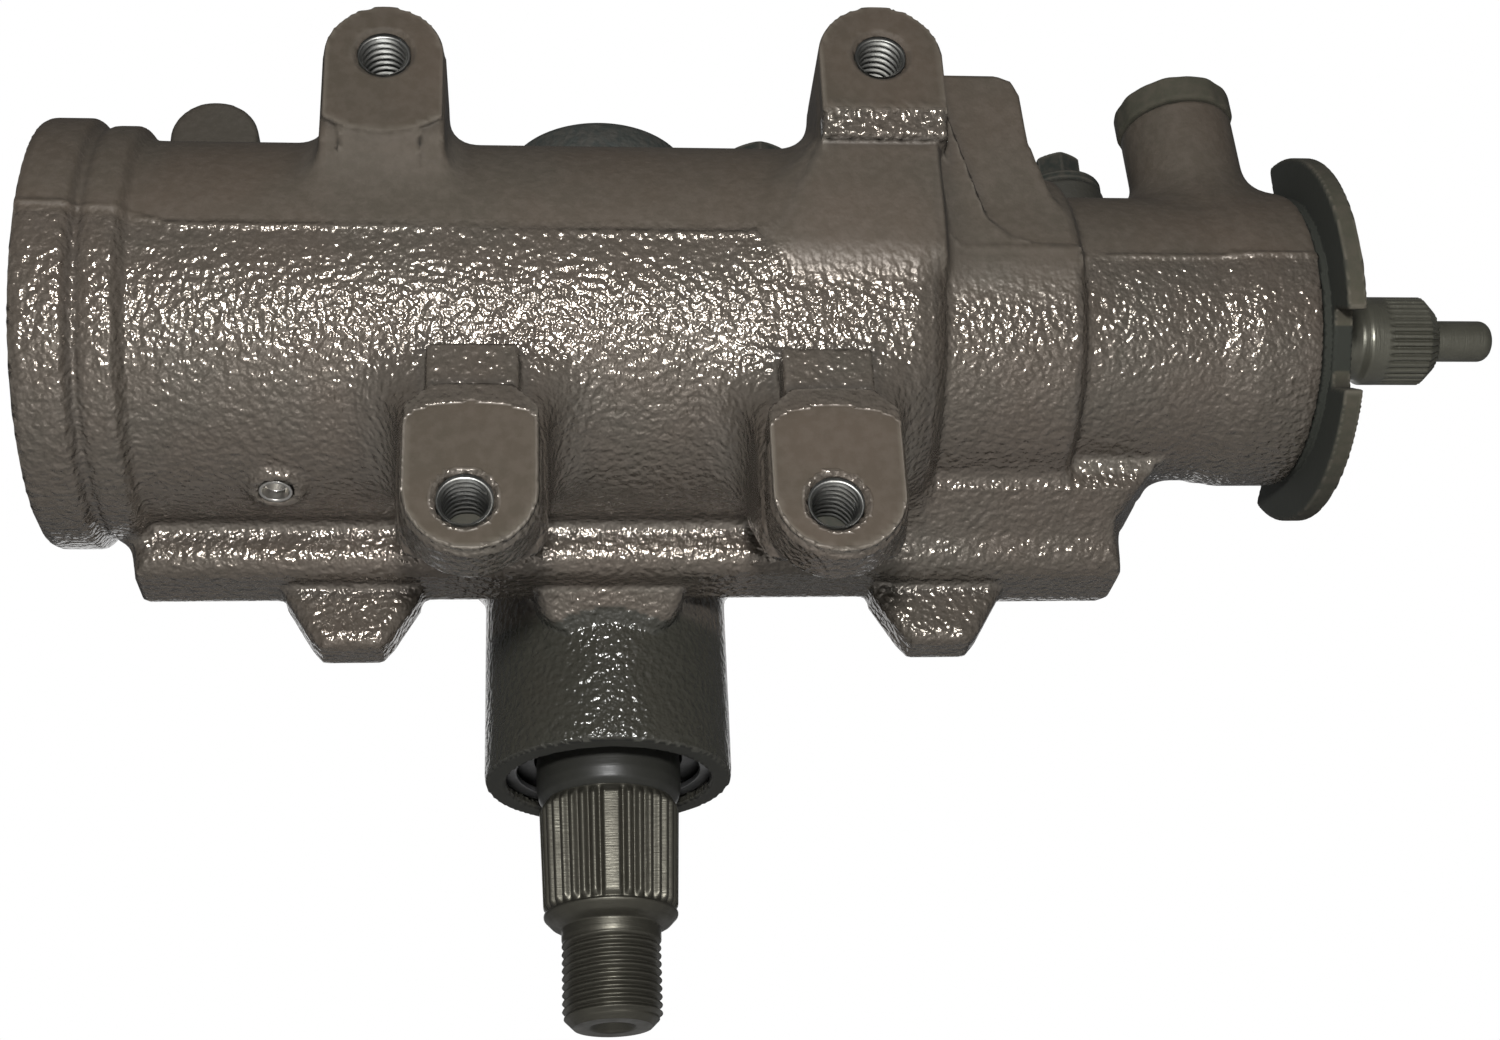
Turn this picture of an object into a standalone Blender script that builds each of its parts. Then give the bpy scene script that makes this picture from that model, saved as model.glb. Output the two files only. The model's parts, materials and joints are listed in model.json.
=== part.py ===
"""Integral power steering gearbox: recirculating-ball screw, rack piston, sector shaft and rotary valve.

The worm and input shaft lie along X, with the input end at +X. The pitman shaft lies along Z, behind the
worm, with its output end at -Z. The mounting ears face -Y. The origin is the tip of the input shaft.
Stations along X are measured from the plane of the pitman axis, and the datum empty shifts them.
"""

import math

import bmesh
import bpy
from mathutils import Matrix, Vector

MM = 0.001

# Clearances
RUNNING_GAP = 0.4 * MM
SEAT_GAP = 0.3 * MM

# Facets round a full turn
ROUND_SIDES = 28
INNER_SIDES = 16
SMALL_SIDES = 12
FASTENER_SIDES = 8

# Housing barrel, worked along X
BODY_RADIUS = 42.3 * MM
BODY_WALL = 4.8 * MM
BODY_LEFT = -98.1 * MM
BODY_RIGHT = 69.5 * MM
END_FLANGE_WALL = 6.75 * MM
END_FLANGE_LENGTH = 12.2 * MM
END_BAND_STEP = 3.1 * MM
END_BAND_LENGTH = 10.1 * MM
GROOVE_DEPTH = 1.3 * MM
SHOULDER_RADIUS = 36.1 * MM
SHOULDER_RUN = 8.0 * MM
SHOULDER_RIGHT = 101.0 * MM
NECK_WALL = 3.7 * MM
COLLAR_STEP = 1.3 * MM
COLLAR_LENGTH = 15.7 * MM
CAST_ROUND = 1.2 * MM

# Bores of the housing along X
END_SEAT_STEP = 2.7 * MM
END_SEAT_DEPTH = 14.0 * MM
RETAINING_GROOVE_DEPTH = 2.0 * MM
RETAINING_GROOVE_WIDTH = 2.6 * MM
RETAINING_GROOVE_INSET = 2.2 * MM
BULKHEAD_LEFT = 67.5 * MM
BULKHEAD_THICKNESS = 7.0 * MM
BULKHEAD_HOLE_RADIUS = 14.6 * MM
ADJUSTER_BORE_STEP = 3.9 * MM
ADJUSTER_BORE_LENGTH = 26.7 * MM

# Rack and sector
SECTOR_PITCH_RADIUS = 28.0 * MM
SECTOR_TEETH_ROUND = 11
SECTOR_TEETH = 3
PRESSURE_ANGLE = math.radians(25)
ADDENDUM = 4.4 * MM
DEDENDUM = 5.3 * MM
BACKLASH = 0.5 * MM
SECTOR_HEIGHT = 40.0 * MM
SECTOR_HUB_RADIUS = 21.6 * MM
RACK_PITCH_INSET = 10.5 * MM
STEERING_RATIO = 16

# Pitman shaft, worked along Z
PITMAN_JOURNAL_RADIUS = 16.5 * MM
PITMAN_TRUNNION_RADIUS = 16.0 * MM
PITMAN_TRUNNION_REACH = 17.0 * MM
PITMAN_SPLINE_TOP = -87.6 * MM
PITMAN_SPLINE_LENGTH = 27.3 * MM
PITMAN_SPLINE_TOP_RADIUS = 15.94 * MM
PITMAN_SPLINE_END_RADIUS = 15.05 * MM
PITMAN_SERRATIONS = 36
PITMAN_SERRATION_DEPTH = 1.15 * MM
PITMAN_NECK_RADIUS = 14.0 * MM
PITMAN_THREAD_RADIUS = 11.1 * MM
PITMAN_SHOULDER_LENGTH = 2.8 * MM
PITMAN_THREAD_LENGTH = 24.5 * MM
PITMAN_END_CHAMFER = 2.4 * MM
CENTRE_DRILL_RADIUS = 5.0 * MM
CENTRE_DRILL_DEPTH = 7.0 * MM

# Sector chamber and pitman boss
CHAMBER_GAP = 3.6 * MM
CHAMBER_WALL = 6.0 * MM
CHAMBER_FLOOR_GAP = 1.5 * MM
CHAMBER_FLOOR_THICKNESS = 4.8 * MM
COVER_SEAT_RISE = 3.7 * MM
COVER_SEAT_THICKNESS = 8.5 * MM
PITMAN_BOSS_RADIUS = 28.3 * MM
PITMAN_BOSS_END = -86.1 * MM
PITMAN_BEARING_WALL = 4.2 * MM
PITMAN_BEARING_LENGTH = 34.0 * MM
PITMAN_SEAL_RADIUS = 23.5 * MM
PITMAN_SEAL_SEAT = -63.0 * MM
SNAP_GROOVE_WIDTH = 1.9 * MM
SNAP_GROOVE_DEPTH = 1.2 * MM
SNAP_GROOVE_INSET = 2.4 * MM
PITMAN_INNER_SEAL_LENGTH = 7.0 * MM
PITMAN_SEAL_WASHER_THICKNESS = 1.4 * MM
PITMAN_OUTER_SEAL_LENGTH = 6.5 * MM
PITMAN_BACKUP_WASHER_THICKNESS = 1.6 * MM

# Ball screw
BALL_CIRCLE_RADIUS = 12.8 * MM
BALL_RADIUS = 3.45 * MM
BALL_NECK_RADIUS = 1.1 * MM
GROOVE_RADIUS = 4.2 * MM
WORM_LAND_RADIUS = 11.6 * MM
NUT_BORE_RADIUS = 14.0 * MM
CIRCUIT_TURNS = 1.5
CIRCUIT_CENTRE = 5.0 * MM
WORM_GROOVE_LEFT = -34.0 * MM
WORM_GROOVE_RIGHT = 38.0 * MM
WORM_LEFT = -29.0 * MM
WORM_SIDES = 12
NUT_SIDES = 18
GUIDE_TUBE_RADIUS = 4.6 * MM
GUIDE_WALL = 0.8 * MM
GUIDE_LEG_START = 9.0 * MM
GUIDE_POCKET_INSET = 15.1 * MM
GUIDE_POCKET_LEFT = -20.0 * MM
GUIDE_POCKET_RIGHT = 30.0 * MM
CLAMP_THICKNESS = 1.2 * MM
CLAMP_WIDTH = 8.0 * MM
CLAMP_SCREW_SPREAD = 10.4 * MM
CLAMP_SCREW_RADIUS = 1.9 * MM
CLAMP_SCREW_DEPTH = 4.0 * MM
CLAMP_SCREW_HEAD_RADIUS = 3.2 * MM
CLAMP_SCREW_HEAD_HEIGHT = 2.2 * MM

# Rack piston
RACK_LEFT = -78.0 * MM
RACK_RIGHT = 44.0 * MM
RACK_FLAT_LEFT = -47.0 * MM
PISTON_RING_STATION = -66.0 * MM
PISTON_RING_WIDTH = 3.0 * MM
PISTON_RING_DEPTH = 3.2 * MM
RACK_PLUG_LENGTH = 8.0 * MM
RACK_PLUG_SOCKET = 12.7 * MM
RACK_PLUG_SOCKET_DEPTH = 5.0 * MM

# Worm head, thrust bearings and valve
THRUST_RACE = 1.0 * MM
THRUST_CAGE = 2.4 * MM
THRUST_INNER_RADIUS = 15.2 * MM
THRUST_OUTER_RADIUS = 21.5 * MM
WORM_NECK_RADIUS = 14.0 * MM
WORM_FLANGE_RADIUS = 21.5 * MM
WORM_FLANGE_LENGTH = 3.6 * MM
WORM_HEAD_LENGTH = 9.0 * MM
WORM_HEAD_RADIUS = 16.0 * MM
WORM_SLOT_WIDTH = 9.6 * MM
WORM_SLOT_DEPTH = 5.0 * MM
STUB_PILOT_RADIUS = 6.6 * MM
STUB_PILOT_LENGTH = 6.0 * MM
STUB_TANG_WIDTH = 6.4 * MM
STUB_TANG_REACH = 10.6 * MM
VALVE_BODY_WALL = 7.5 * MM
VALVE_BODY_LENGTH = 38.0 * MM
VALVE_RINGS = 3
VALVE_RING_WIDTH = 3.0 * MM
VALVE_RING_DEPTH = 2.4 * MM
VALVE_RING_PITCH = 10.5 * MM
VALVE_PORT_RADIUS = 2.2 * MM
SPOOL_WALL = 4.8 * MM
SPOOL_INSET = 5.0 * MM
SPOOL_SLOTS = 6
SPOOL_SLOT_WIDTH = 4.6 * MM
SPOOL_SLOT_DEPTH = 1.6 * MM
SPOOL_SLOT_END_WALL = 4.0 * MM
TORSION_BAR_RADIUS = 2.9 * MM
TORSION_HEAD_RADIUS = 3.9 * MM
TORSION_HEAD_LENGTH = 9.0 * MM

# Stub shaft
STUB_BODY_RADIUS = 11.0 * MM
STUB_BORE_RADIUS = 4.3 * MM
STUB_NECK_RADIUS = 8.9 * MM
STUB_NECK_INSET = 1.7 * MM
STUB_SPLINE_STANDOFF = 13.4 * MM
STUB_SPLINE_LENGTH = 17.2 * MM
STUB_SPLINE_RADIUS = 10.2 * MM
STUB_SERRATIONS = 36
STUB_SERRATION_DEPTH = 0.75 * MM
STUB_END_CHAMFER = 2.9 * MM
PILOT_RADIUS = 4.74 * MM
PILOT_LENGTH = 14.45 * MM
PILOT_ROUND = 2.6 * MM

# Adjuster plug and lock nut
ADJUSTER_STANDOFF = 6.5 * MM
ADJUSTER_FLOOR_THICKNESS = 4.5 * MM
ADJUSTER_FLOOR_BORE = 12.0 * MM
ADJUSTER_CUP_RADIUS = 15.2 * MM
ADJUSTER_SEAL_INSET = 5.0 * MM
ADJUSTER_SEAL_DEPTH = 2.2 * MM
ADJUSTER_SEAL_WIDTH = 3.0 * MM
SPANNER_HOLE_RADIUS = 2.6 * MM
SPANNER_HOLE_DEPTH = 6.0 * MM
SPANNER_HOLE_CIRCLE = 21.5 * MM
STUB_BEARING_LENGTH = 12.0 * MM
STUB_SEAL_LENGTH = 6.0 * MM
STUB_DUST_SEAL_LENGTH = 2.6 * MM
SEAL_RING_WIDTH = 1.3 * MM
SEAL_RING_GROOVE = 1.0 * MM
LOCK_NUT_RADIUS = 41.75 * MM
LOCK_NUT_THICKNESS = 4.4 * MM
LOCK_NUT_NOTCHES = 3
LOCK_NUT_NOTCH_WIDTH = 17.0 * MM
LOCK_NUT_NOTCH_DEPTH = 8.6 * MM
LOCK_NUT_NOTCH_TURN = math.radians(207)

# Housing end plug
END_PLUG_THICKNESS = 8.0 * MM
END_PLUG_RECESS = 3.0 * MM
END_PLUG_RIM = 5.0 * MM
END_SEAL_WIRE = 1.25 * MM
RETAINING_WIRE = 1.1 * MM
RETAINING_RING_OPENING = math.radians(14)

# Side cover
COVER_FLANGE_THICKNESS = 8.5 * MM
GASKET_THICKNESS = 0.8 * MM
COVER_BOLT_SPREAD = 38.0 * MM
COVER_LOBE_RADIUS = 11.0 * MM
COVER_BOLT_RADIUS = 4.7 * MM
COVER_BOLT_REACH = 17.5 * MM
COVER_BOLT_HEAD_ACROSS = 14.3 * MM
COVER_BOLT_HEAD_HEIGHT = 5.6 * MM
COVER_DOME_RADIUS = 26.0 * MM
COVER_DOME_RISE = 25.5 * MM
COVER_BOSS_RISE = 3.6 * MM
COVER_BOSS_RADIUS = 11.0 * MM
BUSHING_WALL = 2.2 * MM
BUSHING_LENGTH = 15.0 * MM
LASH_SCREW_RADIUS = 4.6 * MM
LASH_SCREW_HEAD_RADIUS = 7.4 * MM
LASH_SCREW_HEAD_HEIGHT = 3.0 * MM
LASH_SCREW_STANDOFF = 11.5 * MM
LASH_SLOT_DROP = 8.0 * MM
LASH_NUT_ACROSS = 16.0 * MM
LASH_NUT_HEIGHT = 7.0 * MM

# Mounting ears: stations X and Z of the bolt holes, then the pad radius and how far it sits off the hole
EAR_STANDOFF = 3.7 * MM
UPPER_EAR_DEPTH = 22.0 * MM
LOWER_EAR_DEPTH = 12.0 * MM
EAR_HOLE_RADIUS = 4.9 * MM
EAR_HOLE_DEPTH = 18.0 * MM
UPPER_LEFT_EAR = (-48.05 * MM, 42.4 * MM)
UPPER_RIGHT_EAR = (58.7 * MM, 44.0 * MM)
LOWER_LEFT_EAR = (-29.7 * MM, -64.0 * MM)
LOWER_RIGHT_EAR = (41.95 * MM, -64.9 * MM)
UPPER_LEFT_PAD_RADIUS = 12.6 * MM
UPPER_RIGHT_PAD_RADIUS = 13.6 * MM
LOWER_PAD_RADIUS = 13.2 * MM
LOWER_PAD_SHIFT = 1.0 * MM
LOWER_PAD_LIFT = 2.7 * MM
LOWER_PAD_HEIGHT = 18.6 * MM
PAD_STEP = 2.4 * MM
UPPER_LEFT_WEB_FOOT = 11.0 * MM
UPPER_RIGHT_WEB_FOOT = 1.0 * MM
UPPER_RIGHT_WEB_REACH = (23.7 * MM, 19.3 * MM)
LOWER_WEB_HALF_WIDTH = 9.3 * MM
LOWER_WEB_TOP = -24.0 * MM

# Ribs and lugs below the barrel
RIB_FRONT = 19.4 * MM
RIB_THICKNESS = 12.0 * MM
RIB_DROP = 8.7 * MM
RIB_LEFT = -103.0 * MM
RIB_RIGHT = 113.5 * MM
LUG_LENGTH = 15.3 * MM
LUG_THICKNESS = 11.0 * MM
LUG_STATIONS = (-56.5 * MM, 73.5 * MM)
LUG_TOP_HALF_WIDTH = 15.0 * MM
LUG_TIP_HALF_WIDTH = 7.0 * MM

# Ports and small bosses
FRONT_PORT_PLACE = (136.8 * MM, -8.0 * MM, 42.0 * MM)
FRONT_PORT_LEAN = math.radians(-2)
FRONT_PORT_RADIUS = 13.9 * MM
FRONT_PORT_RISE = 10.8 * MM
REAR_PORT_PLACE = (112.0 * MM, 14.0 * MM, 42.0 * MM)
REAR_PORT_RADIUS = 10.8 * MM
REAR_PORT_RISE = 10.5 * MM
PORT_HOLE_RADIUS = 5.6 * MM
PORT_ROOT = 22.0 * MM
PORT_PLUG_REACH = 11.0 * MM
FRONT_CAP = {"radius": 14.4 * MM, "thick": 6.6 * MM, "across": 8.6 * MM, "head": 1.8 * MM}
REAR_CAP = {"radius": 8.6 * MM, "thick": 2.0 * MM, "across": 9.6 * MM, "head": 7.5 * MM}
CUP_BOSS_STATION = -70.5 * MM
CUP_BOSS_TURN = math.radians(10)
CUP_BOSS_RADIUS = 4.7 * MM
CUP_BOSS_RISE = 1.0 * MM
CUP_PLUG_RADIUS = 3.1 * MM
CUP_PLUG_DEPTH = 3.4 * MM
REAR_LUG_PLACE = (-90.0 * MM, 53.0 * MM)
REAR_LUG_RADIUS = 10.0 * MM
REAR_LUG_THICKNESS = 12.0 * MM

# What follows from the sizes above
MAIN_BORE_RADIUS = BODY_RADIUS - BODY_WALL
END_SEAT_RADIUS = MAIN_BORE_RADIUS + END_SEAT_STEP
END_BAND_RADIUS = BODY_RADIUS + END_BAND_STEP
END_FLANGE_RADIUS = END_SEAT_RADIUS + END_FLANGE_WALL
RETAINING_GROOVE_RADIUS = END_SEAT_RADIUS + RETAINING_GROOVE_DEPTH
HOUSING_LEFT = BODY_LEFT - END_BAND_LENGTH - END_FLANGE_LENGTH
RACK_RADIUS = MAIN_BORE_RADIUS - RUNNING_GAP
CIRCULAR_PITCH = 2 * math.pi * SECTOR_PITCH_RADIUS / SECTOR_TEETH_ROUND
SECTOR_TIP_RADIUS = SECTOR_PITCH_RADIUS + ADDENDUM
RACK_PITCH_LINE = RACK_RADIUS - RACK_PITCH_INSET
CENTRE_DISTANCE = RACK_PITCH_LINE + SECTOR_PITCH_RADIUS
RACK_TIP_LINE = RACK_PITCH_LINE + ADDENDUM
LEAD = 2 * math.pi * SECTOR_PITCH_RADIUS / STEERING_RATIO
CHAMBER_RADIUS = SECTOR_TIP_RADIUS + CHAMBER_GAP
CHAMBER_FLOOR = -SECTOR_HEIGHT / 2 - CHAMBER_FLOOR_GAP
PITMAN_BEARING_RADIUS = PITMAN_JOURNAL_RADIUS + RUNNING_GAP + PITMAN_BEARING_WALL
BULKHEAD_RIGHT = BULKHEAD_LEFT + BULKHEAD_THICKNESS
EAR_FACE = -BODY_RADIUS - EAR_STANDOFF
RIB_BOTTOM = -BODY_RADIUS - RIB_DROP
LUG_BOTTOM = RIB_BOTTOM - LUG_LENGTH
GUIDE_POCKET_DEPTH = RACK_RADIUS - GUIDE_POCKET_INSET
COVER_SEAT_HEIGHT = BODY_RADIUS + COVER_SEAT_RISE
WORM_FLANGE_LEFT = BULKHEAD_RIGHT + 2 * THRUST_RACE + THRUST_CAGE + 4 * SEAT_GAP
WORM_FLANGE_RIGHT = WORM_FLANGE_LEFT + WORM_FLANGE_LENGTH
WORM_RIGHT = WORM_FLANGE_RIGHT + WORM_HEAD_LENGTH
VALVE_BODY_LEFT = WORM_FLANGE_RIGHT + SEAT_GAP
VALVE_BODY_RIGHT = VALVE_BODY_LEFT + VALVE_BODY_LENGTH
UPPER_THRUST_RIGHT = VALVE_BODY_RIGHT + 2 * THRUST_RACE + THRUST_CAGE + 3 * SEAT_GAP
ADJUSTER_LEFT = UPPER_THRUST_RIGHT + SEAT_GAP
VALVE_BORE_RIGHT = ADJUSTER_LEFT - 2 * SEAT_GAP
HOUSING_RIGHT = VALVE_BORE_RIGHT + ADJUSTER_BORE_LENGTH
NECK_RIGHT = HOUSING_RIGHT - COLLAR_LENGTH
ADJUSTER_FACE = HOUSING_RIGHT + ADJUSTER_STANDOFF
ADJUSTER_SEAL_STATION = VALVE_BORE_RIGHT + ADJUSTER_SEAL_INSET
STUB_NECK_LEFT = ADJUSTER_FACE - STUB_NECK_INSET
STUB_SPLINE_LEFT = ADJUSTER_FACE + STUB_SPLINE_STANDOFF
INPUT_TIP = STUB_SPLINE_LEFT + STUB_SPLINE_LENGTH + PILOT_LENGTH
SPOOL_BORE = STUB_BODY_RADIUS + RUNNING_GAP
VALVE_BODY_BORE = SPOOL_BORE + SPOOL_WALL + RUNNING_GAP
VALVE_BODY_RADIUS = VALVE_BODY_BORE + VALVE_BODY_WALL
VALVE_BORE_RADIUS = VALVE_BODY_RADIUS + 2 * SEAT_GAP
ADJUSTER_BORE_RADIUS = VALVE_BORE_RADIUS + ADJUSTER_BORE_STEP
NECK_RADIUS = ADJUSTER_BORE_RADIUS + NECK_WALL
COLLAR_RADIUS = NECK_RADIUS + COLLAR_STEP
SPOOL_LEFT = WORM_RIGHT + SEAT_GAP
SPOOL_RIGHT = VALVE_BODY_RIGHT - SPOOL_INSET
SPOOL_SLOT_LENGTH = SPOOL_RIGHT - SPOOL_LEFT - 2 * SPOOL_SLOT_END_WALL
LOCK_NUT_LEFT = HOUSING_RIGHT + SEAT_GAP
CIRCUIT_LENGTH = CIRCUIT_TURNS * LEAD
CIRCUIT_LEFT = CIRCUIT_CENTRE - CIRCUIT_LENGTH / 2
CIRCUIT_RIGHT = CIRCUIT_CENTRE + CIRCUIT_LENGTH / 2
GUIDE_BEND_RADIUS = GUIDE_TUBE_RADIUS + RUNNING_GAP
GUIDE_HEIGHT = GUIDE_POCKET_DEPTH + GUIDE_BEND_RADIUS
GASKET_BOTTOM = COVER_SEAT_HEIGHT + SEAT_GAP
COVER_BOTTOM = GASKET_BOTTOM + GASKET_THICKNESS + SEAT_GAP
COVER_TOP = COVER_BOTTOM + COVER_FLANGE_THICKNESS
COVER_DOME_TOP = COVER_TOP + COVER_DOME_RISE
COVER_BOSS_TOP = COVER_DOME_TOP + COVER_BOSS_RISE
LASH_SCREW_TOP = COVER_BOSS_TOP + LASH_SCREW_STANDOFF
BUSHING_RADIUS = PITMAN_TRUNNION_RADIUS + RUNNING_GAP + BUSHING_WALL
TRUNNION_TOP = COVER_SEAT_HEIGHT + PITMAN_TRUNNION_REACH
LASH_HEAD_BOTTOM = TRUNNION_TOP - LASH_SLOT_DROP + SEAT_GAP
COVER_BOLT_CORNERS = tuple(
    (side * COVER_BOLT_SPREAD, CENTRE_DISTANCE + end * COVER_BOLT_SPREAD)
    for side in (-1, 1)
    for end in (-1, 1)
)

FINISHES = {
    "painted iron": ((0.105, 0.084, 0.066), 0.45, 0.25),
    "dark steel": ((0.045, 0.047, 0.040), 0.50, 0.70),
    "bright steel": ((0.420, 0.410, 0.390), 0.32, 1.00),
    "bearing steel": ((0.550, 0.550, 0.560), 0.22, 1.00),
    "bronze": ((0.480, 0.310, 0.130), 0.38, 1.00),
    "rubber": ((0.020, 0.020, 0.021), 0.70, 0.00),
    "ring plastic": ((0.700, 0.660, 0.560), 0.45, 0.00),
    "gasket paper": ((0.160, 0.190, 0.230), 0.85, 0.00),
}


# Scene and materials


def clear_scene():
    for old in list(bpy.data.objects):
        bpy.data.objects.remove(old, do_unlink=True)


def new_collection(name):
    collection = bpy.data.collections.new(name)
    bpy.context.scene.collection.children.link(collection)
    return collection


def finish_material(name, finish):
    colour, roughness, metallic = FINISHES[finish]
    material = bpy.data.materials.new(f"{name} {finish}")
    material.use_nodes = True
    shader = material.node_tree.nodes["Principled BSDF"]
    shader.inputs["Base Color"].default_value = (*colour, 1.0)
    shader.inputs["Roughness"].default_value = roughness
    shader.inputs["Metallic"].default_value = metallic
    material.diffuse_color = (*colour, 1.0)
    return material


clear_scene()
PARTS = new_collection("steering_gearbox")
TOOLS = new_collection("cutters")


def new_empty(name, place, parent=None):
    empty = bpy.data.objects.new(name, None)
    PARTS.objects.link(empty)
    empty.location = place
    empty.parent = parent
    empty.empty_display_size = 20 * MM
    return empty


DATUM = new_empty("gearbox_datum", (-INPUT_TIP, 0, 0))
PITMAN_AXIS = new_empty("pitman_axis", (0, CENTRE_DISTANCE, 0), DATUM)
TURNED_TO_X = (0, math.pi / 2, 0)
PLATE_TURNS = {"XY": (0, 0, 0), "XZ": (math.pi / 2, 0, 0), "YZ": (math.pi / 2, 0, math.pi / 2)}


def new_object(name, mesh, parent, place=(0, 0, 0), turn=(0, 0, 0)):
    obj = bpy.data.objects.new(name, mesh)
    TOOLS.objects.link(obj)
    obj.parent = parent
    obj.location = place
    obj.rotation_euler = turn
    obj.hide_render = True
    obj.display_type = "WIRE"
    return obj


# Shapes


def turned(name, profile, along="Z", sides=ROUND_SIDES, ring=False, parent=DATUM, place=(0, 0, 0), turn=None):
    """Turn a profile of (radius, station) points round the axis; a ring's profile closes on itself."""
    mesh = bpy.data.meshes.new(name)
    count = len(profile)
    edges = [(i, i + 1) for i in range(count - 1)]
    if ring:
        edges.append((count - 1, 0))
    mesh.from_pydata([(radius, 0, station) for radius, station in profile], edges, [])
    axis_turn = turn or (TURNED_TO_X if along == "X" else (0, 0, 0))
    obj = new_object(name, mesh, parent, place, axis_turn)
    modifier = obj.modifiers.new("turning", "SCREW")
    modifier.steps = sides
    modifier.render_steps = sides
    modifier.use_merge_vertices = True
    modifier.merge_threshold = 0.001 * MM
    return settle(obj)


def tube_profile(outer, inner, low, high):
    """Closed profile of a plain ring, outer side first and downwards."""
    return [(outer, high), (outer, low), (inner, low), (inner, high)]


def rod_profile(radius, low, high, chamfer=0.0):
    """Profile of a solid rod with equal chamfers."""
    points = [(0, high), (radius - chamfer, high)]
    if chamfer:
        points.append((radius, high - chamfer))
        points.append((radius, low + chamfer))
    else:
        points.append((radius, high))
        points.append((radius, low))
    if chamfer:
        points.append((radius - chamfer, low))
    points.append((0, low))
    unique = []
    for point in points:
        if not unique or point != unique[-1]:
            unique.append(point)
    return unique


def rod(name, radius, low, high, along="Z", sides=ROUND_SIDES, chamfer=0.0, **place):
    return turned(name, rod_profile(radius, low, high, chamfer), along, sides, **place)


def ring(name, outer, inner, low, high, along="Z", sides=ROUND_SIDES, **place):
    return turned(name, tube_profile(outer, inner, low, high), along, sides, ring=True, **place)


def mesh_of_curve(name, curve, parent, place, turn):
    """A mesh object with the curve's surface, its caps welded on."""
    guide = bpy.data.objects.new(name + " guide", curve)
    TOOLS.objects.link(guide)
    bpy.context.view_layer.update()
    graph = bpy.context.evaluated_depsgraph_get()
    mesh = bpy.data.meshes.new_from_object(guide.evaluated_get(graph))
    bpy.data.objects.remove(guide)
    shape = bmesh.new()
    shape.from_mesh(mesh)
    bmesh.ops.remove_doubles(shape, verts=shape.verts, dist=0.001 * MM)
    bmesh.ops.recalc_face_normals(shape, faces=shape.faces)
    shape.to_mesh(mesh)
    shape.free()
    mesh.name = name
    mesh.materials.clear()
    return new_object(name, mesh, parent, place, turn)


def plate(name, outlines, thickness, plane="XY", place=(0, 0, 0), parent=DATUM, turn=None):
    """A flat outline, with any holes, as thick as asked and centred on its plane."""
    curve = bpy.data.curves.new(name, "CURVE")
    curve.dimensions = "2D"
    curve.fill_mode = "BOTH"
    curve.extrude = thickness / 2
    for outline in outlines:
        spline = curve.splines.new("POLY")
        spline.points.add(len(outline) - 1)
        for point, (x, y) in zip(spline.points, outline):
            point.co = (x, y, 0, 1)
        spline.use_cyclic_u = True
    return mesh_of_curve(name, curve, parent, place, turn or PLATE_TURNS[plane])


def tube(name, path, radius, closed=False, resolution=2, point_scale=None, parent=DATUM):
    """A round wire along a path; point_scale swells or narrows it point by point."""
    curve = bpy.data.curves.new(name, "CURVE")
    curve.dimensions = "3D"
    curve.bevel_depth = radius
    curve.bevel_resolution = resolution
    curve.use_fill_caps = True
    spline = curve.splines.new("POLY")
    spline.points.add(len(path) - 1)
    for index, place in enumerate(path):
        spline.points[index].co = (*place, 1)
        spline.points[index].radius = point_scale[index] if point_scale else 1.0
    spline.use_cyclic_u = closed
    return mesh_of_curve(name, curve, parent, (0, 0, 0), (0, 0, 0))


def lofted(name, rings, parent=DATUM, place=(0, 0, 0), turn=(0, 0, 0)):
    """Skin equal-length rings of points in turn and cap both ends."""
    shape = bmesh.new()
    rows = [[shape.verts.new(point) for point in points] for points in rings]
    for lower, upper in zip(rows, rows[1:]):
        for i in range(len(lower)):
            j = (i + 1) % len(lower)
            shape.faces.new((lower[i], lower[j], upper[j], upper[i]))
    shape.faces.new(rows[0][::-1])
    shape.faces.new(rows[-1])
    bmesh.ops.recalc_face_normals(shape, faces=shape.faces)
    mesh = bpy.data.meshes.new(name)
    shape.to_mesh(mesh)
    shape.free()
    return new_object(name, mesh, parent, place, turn)


def box(name, low, high, parent=DATUM, place=(0, 0, 0), turn=(0, 0, 0)):
    shape = bmesh.new()
    bmesh.ops.create_cube(shape, size=1.0)
    middle = [(a + b) / 2 for a, b in zip(low, high)]
    size = [b - a for a, b in zip(low, high)]
    bmesh.ops.scale(shape, vec=size, verts=shape.verts)
    bmesh.ops.translate(shape, vec=middle, verts=shape.verts)
    mesh = bpy.data.meshes.new(name)
    shape.to_mesh(mesh)
    shape.free()
    return new_object(name, mesh, parent, place, turn)


def arc(centre, radius, start, end, steps):
    """Points along an arc, angles in degrees."""
    turns = [math.radians(start + (end - start) * i / steps) for i in range(steps + 1)]
    return [(centre[0] + radius * math.cos(t), centre[1] + radius * math.sin(t)) for t in turns]


def circle(centre, radius, sides=ROUND_SIDES):
    return arc(centre, radius, 0, 360 * (sides - 1) / sides, sides - 1)


def hexagon(across):
    return circle((0, 0), across / 2 / math.cos(math.pi / 6), 6)


def tongue(centre, radius, flat_end, steps=8):
    """A flat-ended outline with a half-round tip; flat_end is the height of the square end."""
    x, y = centre
    upwards = y > flat_end
    tip = arc(centre, radius, 0, 180, steps) if upwards else arc(centre, radius, 180, 360, steps)
    ends = (x - radius, flat_end), (x + radius, flat_end)
    return tip + (list(ends) if upwards else list(ends[::-1]))


def lobed_square():
    """The side cover's outline: a lobe round each bolt, with the sides pulled in between."""
    points = []
    for turn in range(4):
        points += arc((COVER_BOLT_SPREAD, COVER_BOLT_SPREAD), COVER_LOBE_RADIUS, -8, 98, 4)
        points = [(y, -x) for x, y in points]
    return points[::-1]


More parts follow.
